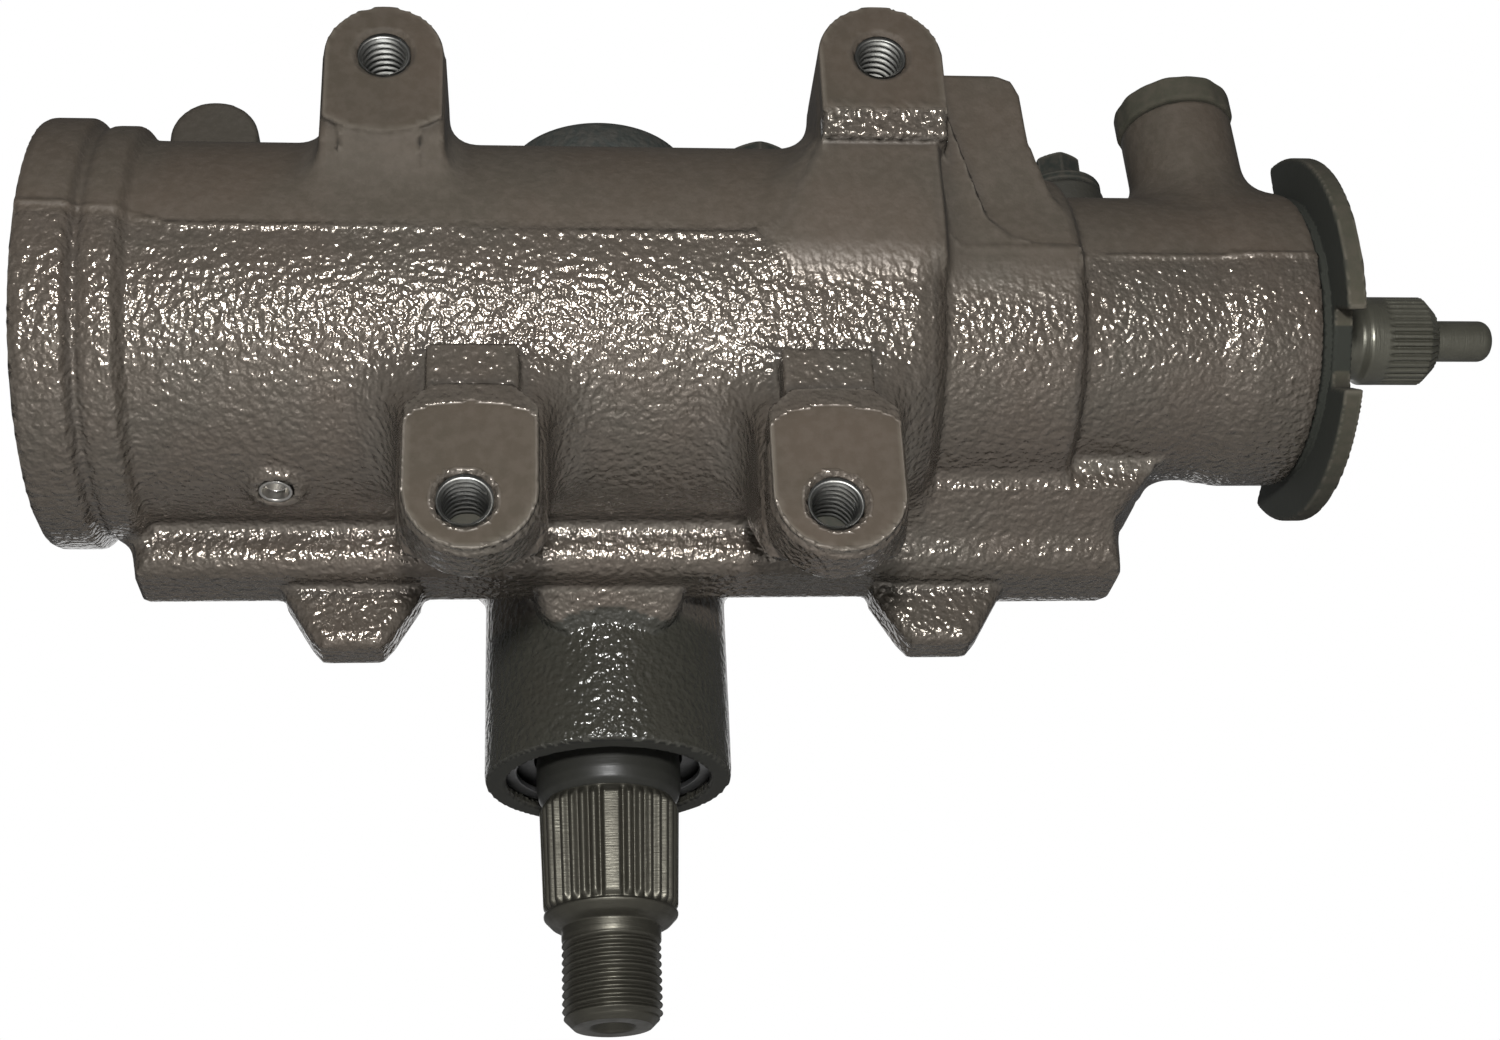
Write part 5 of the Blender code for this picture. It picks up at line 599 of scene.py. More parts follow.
def wrapped(stations, radii, sides, axis="z", origin=(0, 0, 0), looped=False):
    """Rings about an axis, each at its station; a first or last ring of radius 0 closes to one point.

    A ring's radius may change round it. Faces point outwards where the stations rise along an outer wall.
    """
    along, across, up = np.roll(np.eye(3), -"xyz".index(axis), axis=0)
    turn = turns(sides)
    rows = len(stations)
    radii = np.broadcast_to(np.asarray(radii, float).reshape(rows, -1), (rows, sides))
    spokes = across * np.cos(turn)[:, None] + up * np.sin(turn)[:, None]
    heights = np.asarray(stations, float)[:, None, None] * along
    points = (radii[:, :, None] * spokes + heights + np.array(origin, float)).reshape(-1, 3)
    number = np.arange(rows * sides).reshape(rows, sides)
    closed = radii.max(1) < 1e-6
    number[closed] = number[closed, :1]
    quads = number.ravel()[between_rings(rows, sides, looped)]
    low, high = quads[:, 0] == quads[:, 1], quads[:, 2] == quads[:, 3]
    triangles = np.concatenate([quads[low][:, [0, 2, 3]], quads[high][:, [0, 1, 2]]])
    quads = quads[~low & ~high]
    used, numbers = np.unique(np.concatenate([quads.ravel(), triangles.ravel()]), return_inverse=True)
    return points[used], [numbers[: quads.size].reshape(-1, 4), numbers[quads.size :].reshape(-1, 3)]


def rounded(corners, reach, looped=False, steps=4):
    """A profile with its corners bent round: each is a parabola that starts and ends at reach from it."""
    corners = np.array(corners, float)
    share = np.linspace(0, 1, steps + 1)[:, None]
    result = []
    for number, corner in enumerate(corners):
        if not looped and number in (0, len(corners) - 1):
            result.append(corner[None])
            continue
        back = corners[number - 1] - corner
        ahead = corners[(number + 1) % len(corners)] - corner
        start = corner + back * min(reach / np.linalg.norm(back), 0.45)
        end = corner + ahead * min(reach / np.linalg.norm(ahead), 0.45)
        result.append((1 - share) ** 2 * start + 2 * share * (1 - share) * corner + share**2 * end)
    return np.concatenate(result)


def turned_piece(name, profile, axis, finish, node, origin=(0, 0, 0), looped=False, reach=0.5):
    """A profile of (station, radius) corners, bent round and turned about an axis."""
    bent = rounded(profile, reach, looped)
    points, faces = wrapped(bent[:, 0], bent[:, 1], TURNED_SIDES, axis, origin, looped)
    mesh_piece(name, points, faces, finish, node)


def copied_node(node, finish, name=None, keep=None):
    """A CAD node's mesh, merged and smoothed; keep is the plane (axis, millimetres, side) that cuts it."""
    source = frame["nodes"][node]
    net = bmesh.new()
    net.from_mesh(source.data)
    bmesh.ops.remove_doubles(net, verts=net.verts, dist=1e-6)
    if keep:
        axis, station, side = keep
        place, way = np.zeros(3), np.zeros(3)
        place[axis], way[axis] = station, side
        whole = net.verts[:] + net.edges[:] + net.faces[:]
        cuts = bmesh.ops.bisect_plane(
            net, geom=whole, plane_co=placed(place), plane_no=way, clear_inner=True, dist=1e-7
        )
        rim = [part for part in cuts["geom_cut"] if isinstance(part, bmesh.types.BMEdge)]
        bmesh.ops.contextual_create(net, geom=rim)
    mesh = bpy.data.meshes.new(name or node + "_surface")
    net.to_mesh(mesh)
    net.free()
    mesh.polygons.foreach_set("use_smooth", np.ones(len(mesh.polygons), bool))
    mesh.set_sharp_from_angle(angle=math.radians(SHARP_ANGLE))
    mesh.materials.clear()
    shown(mesh.name, mesh, finish, node)


# Finishes


class Shading:
    """Adds nodes to a material's or a group's tree and wires them up."""

    def __init__(self, tree):
        self.tree = tree

    def add(self, kind, **settings):
        node = self.tree.nodes.new("ShaderNode" + kind)
        for key, value in settings.items():
            setattr(node, key, value)
        return node

    def put(self, value, socket):
        if hasattr(value, "is_output"):
            self.tree.links.new(value, socket)
        else:
            socket.default_value = value

    def feed(self, node, values):
        """Sets or wires up a node's inputs by their names."""
        for name, value in values.items():
            self.put(value, node.inputs[name])
        return node

    def sum(self, operation, *values):
        node = self.add("Math", operation=operation)
        for value, socket in zip(values, node.inputs):
            self.put(value, socket)
        return node.outputs[0]

    def plus(self, one, other):
        return self.sum("ADD", one, other)

    def times(self, one, other):
        return self.sum("MULTIPLY", one, other)

    def mix(self, share, one, other):
        node = self.add("Mix", data_type="RGBA")
        self.put(share, node.inputs[0])
        self.put(one, node.inputs[6])
        self.put(other, node.inputs[7])
        return node.outputs[2]

    def noise(self, vector, scale, detail, roughness=0.5):
        values = {"Vector": vector, "Scale": scale, "Detail": detail, "Roughness": roughness}
        return self.feed(self.add("TexNoise"), values).outputs["Fac"]

    def spread(self, value, low, high):
        values = {"Value": value, "From Min": low, "From Max": high}
        return self.feed(self.add("MapRange"), values).outputs[0]


def group_with(name, inputs, outputs):
    """An empty node group with named sockets, and its Shading, input node and output node."""
    tree = bpy.data.node_groups.new(name, "ShaderNodeTree")
    for way, sockets in (("INPUT", inputs), ("OUTPUT", outputs)):
        for socket, kind in sockets.items():
            tree.interface.new_socket(socket, in_out=way, socket_type="NodeSocket" + kind)
    return tree, Shading(tree), tree.nodes.new("NodeGroupInput"), tree.nodes.new("NodeGroupOutput")


# Shades that paint takes in specks, the painted shade in crevices, and the shades on rims, on the sand
# grain's glints, and where it is black
SPECK_SHADE = (0.055, 0.044, 0.035, 1)
CREVICE_PAINTED_SHADE = (0.007, 0.006, 0.005, 1)
RIM_SHADE = (0.09, 0.08, 0.065, 1)
GLINT_SHADE = (0.13, 0.135, 0.14, 1)
BLACK_SHADE = (0.0135, 0.0145, 0.0115, 1)
CAST_MARKS = ("sand", "crevice", "rim", "dark")


def sprayed_group():
    """Paint over iron: two mixed shades, with painted shade in the crevices and lighter on the rims, over
    sand grain.
    """
    inputs = {"Vector": "Vector", "Shade": "Color", "Other Shade": "Color", "Gloss": "Float"}
    inputs.update((mark.capitalize(), "Float") for mark in CAST_MARKS)
    outputs = {"Color": "Color", "Metallic": "Float", "Roughness": "Float", "Height": "Float"}
    tree, make, given, result = group_with("sprayed paint", inputs, outputs)
    given = given.outputs
    vector, sand, dark = given["Vector"], given["Sand"], given["Dark"]
    patches = make.spread(make.noise(vector, 38, 4), 0.35, 0.65)
    specks = make.spread(make.noise(vector, 420, 3, 0.6), 0.42, 0.62)
    shade = make.mix(patches, given["Shade"], given["Other Shade"])
    shade = make.mix(make.times(specks, 0.22), shade, SPECK_SHADE)
    # Painted shade: crevices darken towards near black
    shade = make.mix(make.times(given["Crevice"], 0.62), shade, CREVICE_PAINTED_SHADE)
    shade = make.mix(make.times(given["Rim"], 0.4), shade, RIM_SHADE)
    lifted = make.add("VectorMath", operation="SCALE")
    make.put(shade, lifted.inputs[0])
    make.put(make.plus(1.0, sand), lifted.inputs["Scale"])
    shade = make.mix(make.times(sand, 0.18), lifted.outputs[0], GLINT_SHADE)
    lustre = make.times(sand, make.sum("SUBTRACT", 0.5, make.times(dark, 0.45)))
    blobs = make.plus(make.noise(vector, 680, 1.0, 0.4), make.times(make.noise(vector, 2300, 1.5, 0.5), 0.06))
    height = make.times(blobs, make.plus(make.times(sand, 0.92), 0.08))
    wander = make.times(make.sum("SUBTRACT", patches, 0.5), 0.08)
    dull = make.times(make.sum("SUBTRACT", 1.0, sand), 0.68)
    rough = make.plus(make.plus(given["Gloss"], dull), wander)
    # Black where the dark mark is; behind the housing's top edge this is painted shade
    shade = make.mix(dark, shade, BLACK_SHADE)
    make.feed(result, {"Color": shade, "Metallic": lustre, "Roughness": rough, "Height": height})
    return tree


def worked_group():
    """Bare or oiled metal: tool marks drawn out along one way, stains, and a gloss that follows both."""
    inputs = {"Vector": "Vector", "Shade": "Color", "Stain": "Color", "Stretch": "Vector", "Gloss": "Float"}
    outputs = {"Color": "Color", "Roughness": "Float", "Height": "Float"}
    tree, make, given, result = group_with("worked metal", inputs, outputs)
    given = given.outputs
    stretched = make.add("VectorMath", operation="MULTIPLY")
    make.put(given["Vector"], stretched.inputs[0])
    make.put(given["Stretch"], stretched.inputs[1])
    lines = make.noise(stretched.outputs[0], 900, 3, 0.6)
    stains = make.spread(make.noise(given["Vector"], 160, 5, 0.6), 0.38, 0.68)
    shade = make.mix(make.times(stains, 0.5), given["Shade"], given["Stain"])
    wander = make.times(make.sum("SUBTRACT", lines, 0.5), 0.12)
    rough = make.plus(make.plus(given["Gloss"], make.times(stains, 0.16)), wander)
    height = make.plus(lines, make.times(stains, 0.4))
    make.feed(result, {"Color": shade, "Roughness": rough, "Height": height})
    return tree


def blank_material(name):
    """A new material, its Shading and its shader."""
    material = bpy.data.materials.new(name)
    material.use_nodes = True
    return material, Shading(material.node_tree), material.node_tree.nodes["Principled BSDF"]


def finish_from(group, name, depth, specular, values, marks=(), metallic=None):
    """A material whose colour, roughness and relief come from a group, with its own values on the shader."""
    material, make, shader = blank_material(name)
    values = {"Vector": make.add("TexCoord").outputs["Object"], **values}
    for mark in marks:
        values[mark.capitalize()] = make.add("Attribute", attribute_name=mark).outputs["Fac"]
    effect = make.feed(make.add("Group", node_tree=group), values).outputs
    relief = {"Strength": 1.0, "Distance": depth / 1000, "Height": effect["Height"]}
    normal = make.feed(make.add("Bump"), relief).outputs["Normal"]
    looks = {"Base Color": effect["Color"], "Roughness": effect["Roughness"], "Normal": normal}
    looks["Metallic"] = effect["Metallic"] if metallic is None else metallic
    make.feed(shader, {**looks, "Specular IOR Level": specular})
    return material


def painted(name, shade, other, gloss, depth, specular=0.2, marks=CAST_MARKS):
    """Paint of two shades; depth is its relief in millimetres."""
    values = {"Shade": (*shade, 1), "Other Shade": (*other, 1), "Gloss": gloss}
    return finish_from(sprayed, name, depth, specular, values, marks)


def bare(name, shade, stain, gloss, stretch=(1, 1, 1), metallic=1.0, depth=0.03, specular=0.5):
    """Metal, rubber or plastic as it was worked, with its stains; stretch draws the tool marks out."""
    values = {"Shade": (*shade, 1), "Stain": (*stain, 1), "Stretch": stretch, "Gloss": gloss}
    return finish_from(worked, name, depth, specular, values, metallic=metallic)


sprayed, worked = sprayed_group(), worked_group()
ROUND_X, ROUND_Z = (3, 0.2, 0.2), (0.2, 0.2, 3)
cast_paint = painted(
    "paint on sand casting", (0.031, 0.0228, 0.0152), (0.027, 0.0216, 0.0146), 0.2, 0.72, 0.32
)
smooth_paint = painted("paint on machined face", (0.031, 0.029, 0.02), (0.024, 0.0235, 0.017), 0.24, 0.5)
# Near-black paint for the cover, its bolts, the lash nut and the rear cap: painted shade on parts that the
# flash does not reach
painted_shade_dark_paint = painted("dark cover paint as painted shade", (0.011, 0.013, 0.011), (0.016, 0.018, 0.015), 0.34, 0.75)
plug_paint = painted("dark plug paint", (0.03, 0.03, 0.024), (0.016, 0.018, 0.015), 0.34, 0.5, marks=())
# Near-black steel for the journal: painted shade where it lies inside the boss's mouth
painted_shade_journal_steel = bare(
    "journal steel darkened as painted shade", (0.014, 0.014, 0.012), (0.008, 0.008, 0.007), 0.34, ROUND_Z, 0.0, specular=0.2
)
oiled_steel = bare(
    "oiled shaft steel", (0.058, 0.055, 0.044), (0.027, 0.025, 0.019), 0.36, ROUND_Z, 0.8, 0.08
)
sprayed_steel = bare(
    "oversprayed shaft steel", (0.078, 0.076, 0.06), (0.043, 0.041, 0.031), 0.3, ROUND_X, 0.6, 0.08
)
bright_steel = bare("ground steel", (0.42, 0.41, 0.39), (0.28, 0.26, 0.23), 0.2, ROUND_X)
thread_steel = bare("cut thread", (0.2, 0.2, 0.19), (0.08, 0.076, 0.065), 0.38)
bearing_bronze = bare("bearing bronze", (0.45, 0.3, 0.12), (0.32, 0.21, 0.09), 0.28, ROUND_Z)
nitrile = bare("moulded nitrile", (0.02, 0.02, 0.02), (0.03, 0.03, 0.028), 0.5, metallic=0.0, depth=0.05)
filled_plastic = bare("filled ring plastic", (0.05, 0.045, 0.04), (0.035, 0.03, 0.027), 0.45, metallic=0.0)
blued_steel = bare("blued spring steel", (0.1, 0.1, 0.1), (0.03, 0.03, 0.03), 0.3, metallic=0.7)
SLOT_FINISH = {
    "painted_cast_iron": cast_paint,
    "painted_steel": plug_paint,
    "machined_steel": bright_steel,
    "bearing_steel": bright_steel,
    "bronze": bearing_bronze,
    "seal_rubber": nitrile,
    "ring_plastic": filled_plastic,
}


# The housing and what is bolted to it


def cast_marks(form, points, normals, sand):
    """Masks for the paint: sand grain, painted shade in crevices where a probe finds the surface again, and
    thin rims.
    """
    hollow = form(*(points + 3.5 * normals).T)
    thin = -form(*(points - 1.1 * normals).T)
    return {
        "sand": sand,
        "crevice": ramp(hollow, 3.3, 0),
        "rim": ramp(thin, 0.95, 0.45),
        "dark": np.zeros(len(points)),
    }


def gear_housing():
    """The casting in three lengths of the same net, so that no piece is too heavy."""
    points, faces, normals = surface_net(casting, *CAST_BOX, CAST_CELL)
    x, y, z = points.T
    # Cut faces have no sand grain: the ears' pads, the barrel's ends and the mouth round its end plug
    pads = (normals[:, 1] < -0.985) & (y < EAR_FACE + 0.8) & (x > -100)
    ends = (np.abs(normals[:, 0]) > 0.97) & ((x < -118.4) | (x > 151.6))
    mouth = (np.hypot(y, z) < 37) & (x < -105)
    # The lower half of the mould left more grain, up to a line that drops beside the upper right ear
    lip = (x > 45) & (x < 73) & (z > 23.5) & (z < 29.4) & (y < -42)
    beside = ramp(x, 30, 38) * ramp(x, 104, 98)
    grain_top = 2.8 - 4 * beside
    sand = 0.14 + 0.86 * ramp(z, grain_top, grain_top - 3 - 9 * beside)
    sand = np.where(lip, 1.0, sand)
    sand = np.where(pads | ends | mouth | (z < -85.6), 0.0, sand)
    marks = cast_marks(casting, points, normals, sand)
    # Paint is darker on the pitman boss and on the rear port; behind the top edge the darkening is painted
    # shade, where the flash does not reach
    boss = ramp(z, -52.5, -55.5) * (y > 16) * (np.hypot(x, y - PITMAN_Y) < 31) * 0.85
    behind = ramp(y, -12, 2) * ramp(z, 34, 42) * 0.6
    port_top = ((np.hypot(x - REAR_PORT["at"][0], y - REAR_PORT["at"][1]) < 12) & (z > 36)) * 0.8
    marks["dark"] = np.max([boss, behind, port_top], axis=0)
    station = points[faces].mean(1)[:, 0]
    for name, low, high in (("left", -200, -45), ("middle", -45, 30), ("right", 30, 200)):
        used, part = np.unique(faces[(station >= low) & (station < high)], return_inverse=True)
        part = part.reshape(-1, 4)
        kept = {mark: values[used] for mark, values in marks.items()}
        name = f"cast_housing_{name}"
        mesh_piece(name, points[used], part, cast_paint, "gear_housing", normals[used], kept)


def net_piece(name, form, low, high, cell, finish, nodes, sand=None, dark=None, shifts=((0, 0, 0),)):
    """A form's surface as a piece in its node's place; several nodes get the same net, each at its shift."""
    points, faces, normals = surface_net(form, low, high, cell)
    marks = cast_marks(form, points, normals, np.full(len(points), sand)) if sand is not None else None
    if dark:
        marks["dark"] = dark(points, normals)
    for number, (node, shift) in enumerate(zip(nodes, shifts), 1):
        own = name if len(nodes) == 1 else f"{name}_{number}"
        mesh_piece(own, points + np.array(shift), faces, finish, node, normals, marks)


def hex_head(u, v, w, across, low, high):
    """A hexagon, measured across its flats, whose upper corners are turned off by a 30 degree cone."""
    reach = [u * math.cos(turn) + v * math.sin(turn) for turn in np.radians((0, 60, 120))]
    prism = carried(np.abs(reach).max(0) - across / 2, w, low, high, 0.35)
    return trim(prism, (w - high + (np.hypot(u, v) - across * 0.49) * 0.58) * 0.86, 0.3)


def side_cover(x, y, z):
    """A square flange with round corners, a domed middle and a boss for the adjusting screw."""
    off = np.hypot(x, y - PITMAN_Y)
    flange = carried(cover_seat_flat(x, y), z, *COVER_FLANGE, 1.5)
    cover = blend(flange, turned_form(z, off, COVER_DOME, 0.9), 3.5)
    cover = blend(cover, carried(off - 11.0, z, 60, COVER_TOP, 0.8), 3.0)
    for bolt_x, bolt_y in COVER_CORNERS:
        corner = np.hypot(x - bolt_x, y - bolt_y)
        cover = blend(cover, carried(corner - 8.8, z, 50, 56.0, 0.3), 0.8)
        cover = cut(cover, corner - BOLT_HOLE, 0.3)
    cover = cut(cover, carried(off - COVER_HOLLOW[0], z, 40, COVER_HOLLOW[1]), 0.3)
    cover = cut(cover, off - LASH_BORE, 0.3)
    return np.maximum(cover, z - COVER_TOP)


def cover_bolt(x, y, z):
    """A flanged hexagon bolt, its shank down into the cover."""
    off = np.hypot(x, y)
    head = hex_head(x, y, z, 14.3, *BOLT_HEAD)
    washer = carried(off - 8.3, z, *BOLT_WASHER, 0.4)
    shank = carried(off - 4.6, z, *BOLT_SHANK, 0.6)
    return np.minimum(np.minimum(head, blend(washer, shank, 0.5)), shank)


def adjusting_nut(x, y, z):
    nut = hex_head(x, y - PITMAN_Y, z, 16.0, *LASH_NUT)
    return cut(nut, np.hypot(x, y - PITMAN_Y) - LASH_BORE, 0.5)


def thread_rise(station, turn, pitch):
    """How far up its flank a thread is, from 0 to 1, at each station along it and turn round it."""
    phase = (station / pitch - turn / (2 * np.pi)) % 1
    return 1 - np.abs(phase - 0.5) * 2


def adjusting_screw(x, y, z):
    """The lash screw with its driver slot, threaded above the cover, its head below."""
    off = np.hypot(x, y - PITMAN_Y)
    groove = 0.35 * (1 - thread_rise(z, np.arctan2(y - PITMAN_Y, x), LASH_PITCH))
    wall = off - 4.62 + np.where(z > 79, groove, 0.0)
    screw = carried(wall, z, LASH_HEAD[1] - 2, LASH_TIP, 0.7)
    slot = np.maximum(np.abs(x) - 0.7, LASH_TIP - 2.1 - z)
    return np.minimum(cut(screw, slot, 0.2), carried(off - LASH_HEAD_RADIUS, z, *LASH_HEAD, 0.3))


def lock_ring(x, y, z):
    """A flat ring with three square notches, its outer rims rounded by paint, and a lip behind it."""
    off = np.hypot(y, z)
    flat = np.maximum(off - RING_OUTER, RING_INNER - off)
    for notch in range(3):
        turn = math.radians(NOTCH_FIRST + 120 * notch)
        along = y * math.cos(turn) + z * math.sin(turn)
        across = -y * math.sin(turn) + z * math.cos(turn)
        gap = np.maximum(np.abs(across) - NOTCH_HALF, RING_OUTER - NOTCH_DEPTH - along)
        flat = trim(flat, -gap, 0.8)
    lip = carried(np.maximum(off - RING_LIP_OUTER, RING_INNER - off), x, *RING_LIP, 0.3)
    return np.minimum(carried(flat, x, *RING_PLATE, 0.5), lip)


def ring_dark(points, normals):
    """Where the lock nut is black: near its thread, and on what faces back to the casting."""
    near_thread = np.hypot(points[:, 1], points[:, 2]) < 33.5
    return np.where(near_thread, 1.0, np.clip(-normals[:, 0] * 1.6 - 0.5, 0, 1))


def adjuster_plug(x, y, z):
    """The plug that closes the valve bore: a deep cup with two holes for a pin spanner."""
    off = np.hypot(y, z)
    plug = carried(off - ADJUSTER_RADIUS, x, *ADJUSTER, 0.9)
    plug = cut(plug, carried(off - ADJUSTER_CUP, x, ADJUSTER_FLOOR, 170), 0.7)
    plug = cut(plug, off - ADJUSTER_HOLE, 0.4)
    plug = cut(plug, carried(np.abs(off - 28.0) - 2.1, x, *ADJUSTER_GROOVE), 0.3)
    for side in (-SPANNER_HOLE["off"], SPANNER_HOLE["off"]):
        hole = np.hypot(y - side, z) - SPANNER_HOLE["radius"]
        plug = cut(plug, np.maximum(hole, SPANNER_HOLE["floor"] - x), 0.4)
    return plug


def port_cap(x, y, z, port, cap):
    """A round cap over a port boss with a small hexagon, its shank down the port."""
    px, py, pz = port["at"]
    off, along = leaning(x, y, z, port)
    side = (x - px) * math.cos(port["lean"]) - (z - pz) * math.sin(port["lean"])
    seat = port["rise"] + 0.2
    top = seat + cap["thick"]
    turn = np.arctan2(y - py, side)
    drips = cap["drip"] * (np.sin(turn * 9) + 0.6 * np.sin(turn * 16 + 1))
    body = carried(off - cap["radius"] - drips, along, seat, top, cap["edge"])
    head = hex_head(side, y - py, along, cap["across"], top - 2, top + cap["head"])
    shank = carried(off - PORT_HOLE + 0.15, along, seat - 7.5, seat + 1, 0.5)
    return np.minimum(blend(body, head, 0.5), shank)


def round_box(centre, low, high, reach):
    """The two corners of a box round an upright axis at centre."""
    return (centre[0] - reach, centre[1] - reach, low), (centre[0] + reach, centre[1] + reach, high)


def bolted_on():
    """Everything that the housing carries outside: cover, bolts, nuts, plugs and caps."""
    cover_box = (-50, 4, 47), (50, 105, 86)
    # The cover, its bolts, the lash nut and the rear cap are near-black: painted shade
    net_piece("side_cover_casting", side_cover, *cover_box, 0.9, painted_shade_dark_paint, ["side_cover"], 0.55)
    bolts = [f"side_cover_bolt_{number}" for number in range(1, 5)]
    shifts = [(*in_millimetres(np.mean(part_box(bolt), 0))[:2], 0) for bolt in bolts]
    bolt_box = round_box((0, 0), 38, 62, 9)
    net_piece("cover_bolt", cover_bolt, *bolt_box, 0.5, painted_shade_dark_paint, bolts, 0.0, shifts=shifts)
    nut_box = round_box((0, PITMAN_Y), 85, 93, 10)
    net_piece("lash_nut", adjusting_nut, *nut_box, 0.45, painted_shade_dark_paint, ["lash_lock_nut"], 0.0)
    screw_box = round_box((0, PITMAN_Y), LASH_HEAD[0] - 1, 97, 10)
    net_piece("lash_screw", adjusting_screw, *screw_box, 0.4, oiled_steel, ["lash_adjuster_screw"])
    ring_box = (153, -43, -43), (160, 43, 43)
    net_piece("lock_ring", lock_ring, *ring_box, 0.8, smooth_paint, ["adjuster_lock_nut"], 0.0, ring_dark)
    plug_box = (126, -29, -29), (161, 29, 29)
    net_piece("plug_cup", adjuster_plug, *plug_box, 0.8, plug_paint, ["adjuster_plug"], 0.0)
    for name, port, cap, finish in (
        ("front_port", FRONT_PORT, FRONT_CAP, smooth_paint),
        ("rear_port", REAR_PORT, REAR_CAP, painted_shade_dark_paint),
    ):
        form = functools.partial(port_cap, port=port, cap=cap)
        box = round_box(port["at"], port["at"][2] - 5, port["at"][2] + 24, 17)
        net_piece(name + "_cap", form, *box, 0.5, finish, [name + "_plug"], 0.0)
    turned_piece("end_cover", END_COVER_PROFILE, "x", plug_paint, "housing_end_plug")


def passage_plug():
    """A pressed cup, hollow side out, and a thin bright rim, laid along its boss's own axis."""
    turn = CUP_BOSS["turn"]
    bent = rounded(CUP_PROFILE, 0.25)
    points, faces = wrapped(bent[:, 0], bent[:, 1], TURNED_SIDES // 2)
    outward = np.array([0, -math.sin(turn), -math.cos(turn)])
    sideways = np.array([0, math.cos(turn), -math.sin(turn)])
    along = np.cross(sideways, outward)
    points = points @ np.stack([along, sideways, outward]) + np.array([CUP_BOSS["station"], 0, 0])
    mesh_piece("passage_cup", points, faces, bright_steel, "oil_passage_plug")


def stacked(sides, *parts):
    """Radii ring by ring, from lists of plain radii and arrays of radii that change round the ring."""
    columns = [np.asarray(part, float).reshape(len(part), -1) for part in parts]
    return np.concatenate([np.broadcast_to(column, (len(column), sides)) for column in columns])


def tapped_holes():
    """A thread sleeve in each ear, its inner wall falling and rising along a screw line, and a floor."""
    depth, root, outer, sides = 0.95, 5.52, 5.56, TURNED_SIDES // 2
    turn = turns(sides)
    stations = np.arange(0.9, EAR_HOLE_DEPTH - 1.2, EAR_THREAD_PITCH / 8)
    wall = root - depth * thread_rise(stations[:, None], turn, EAR_THREAD_PITCH)
    back = [EAR_HOLE_DEPTH - 0.1, EAR_HOLE_DEPTH - 0.1, 0.6]
    heights = np.concatenate([back, stations, [EAR_HOLE_DEPTH - 0.9, EAR_HOLE_DEPTH - 0.6]])
    radii = stacked(sides, [0.0, outer, outer], wall, [4.6, 0.0])
    floor = np.array([-2.4, -2.0, -1.4, -1.4]) + EAR_HOLE_DEPTH + EAR_FACE
    for number, (at_x, at_z) in enumerate(EAR_HOLES, 1):
        origin = (at_x, 0, at_z)
        points, faces = wrapped(EAR_FACE + heights, radii, sides, "y", origin)
        faces = [group[:, ::-1] for group in faces]
        mesh_piece(f"tapped_hole_{number}", points, faces, thread_steel, "gear_housing")
        points, faces = wrapped(floor, [0.0, 5.0, 5.0, 0.0], sides, "y", origin)
        mesh_piece(f"hole_floor_{number}", points, faces, plug_paint, "gear_housing")


# Shafts


def toothed(turn, width):
    """How far into a valley each spoke is: 1 at its floor, 0 on the crests between."""
    phase = np.abs((turn * SPLINE_TEETH / (2 * np.pi) + 0.5) % 1 - 0.5)
    return np.clip(1.15 - phase / width * 1.15, 0, 1)


def eased(value, low, high):
    share = ramp(value, low, high)
    return share * share * (3 - 2 * share)


def pitman_end():
    """The output shaft below its bearing: journal, tapered serrations with four wide teeth, and thread."""
    tip, thread_top, spline_low, spline_top, shaft_top = -142.2, -120.3, -117.0, -91.0, -90.2
    thread_radius, centre = 11.1, (0, PITMAN_Y, 0)
    turn = turns(SPLINE_SIDES)
    wide = np.abs((turn / (np.pi / 2) + 0.5) % 1 - 0.5) * 9 < 0.5
    valley = np.where(wide, 0, toothed(turn, 0.36))
    runs = (
        (-142.15, -139.5, 0.22),
        (-139.5, -120.1, PITMAN_PITCH / 9),
        (-120.1, -113.6, 0.3),
        (-113.6, -94.0, 2.0),
        (-94.0, shaft_top, 0.25),
    )
    stations = np.concatenate([[tip], *(np.arange(*run) for run in runs)])
    along = stations[:, None]
    crest = np.interp(along, [thread_top, -119.3, -117.6, spline_top], [11.3, 13.4, 15.0, 15.94])
    root = np.where(along > spline_low, crest - 1.15, crest)
    tips = eased(along, -117.2, -115.0) * (1 - eased(along, -93.4, -91.2))
    radii = root + (crest - root) * tips * (1 - valley)
    groove = 1.2 * thread_rise(along, turn, PITMAN_PITCH) * eased(along, tip, tip + 1.2)
    thread = thread_radius - groove * (1 - eased(along, -125.0, -122.4))
    thread = np.minimum(thread, thread_radius - 2.4 + (along - tip))
    radii = np.where(along < thread_top, thread, radii)
    heights = np.concatenate([[-135.2, -138.5, -141.8, tip], stations, [shaft_top]])
    radii = stacked(SPLINE_SIDES, [0.0, 2.2, 4.9, 5.3], radii, [0.0])
    points, faces = wrapped(heights, radii, SPLINE_SIDES, "z", centre)
    mesh_piece("pitman_shaft_end", points, faces, oiled_steel, "pitman_shaft")
    # The journal's near-black steel is painted shade inside the boss's mouth
    journal = [(-91.4, 0.0), (-91.4, 14.7), (-90.0, 16.0), (-87.5, 16.5), (-62.0, 16.5), (-62.0, 0.0)]
    turned_piece("pitman_journal", journal, "z", painted_shade_journal_steel, "pitman_shaft", centre)
    copied_node("pitman_shaft", oiled_steel, "pitman_shaft_sector", (2, -62.0, 1))


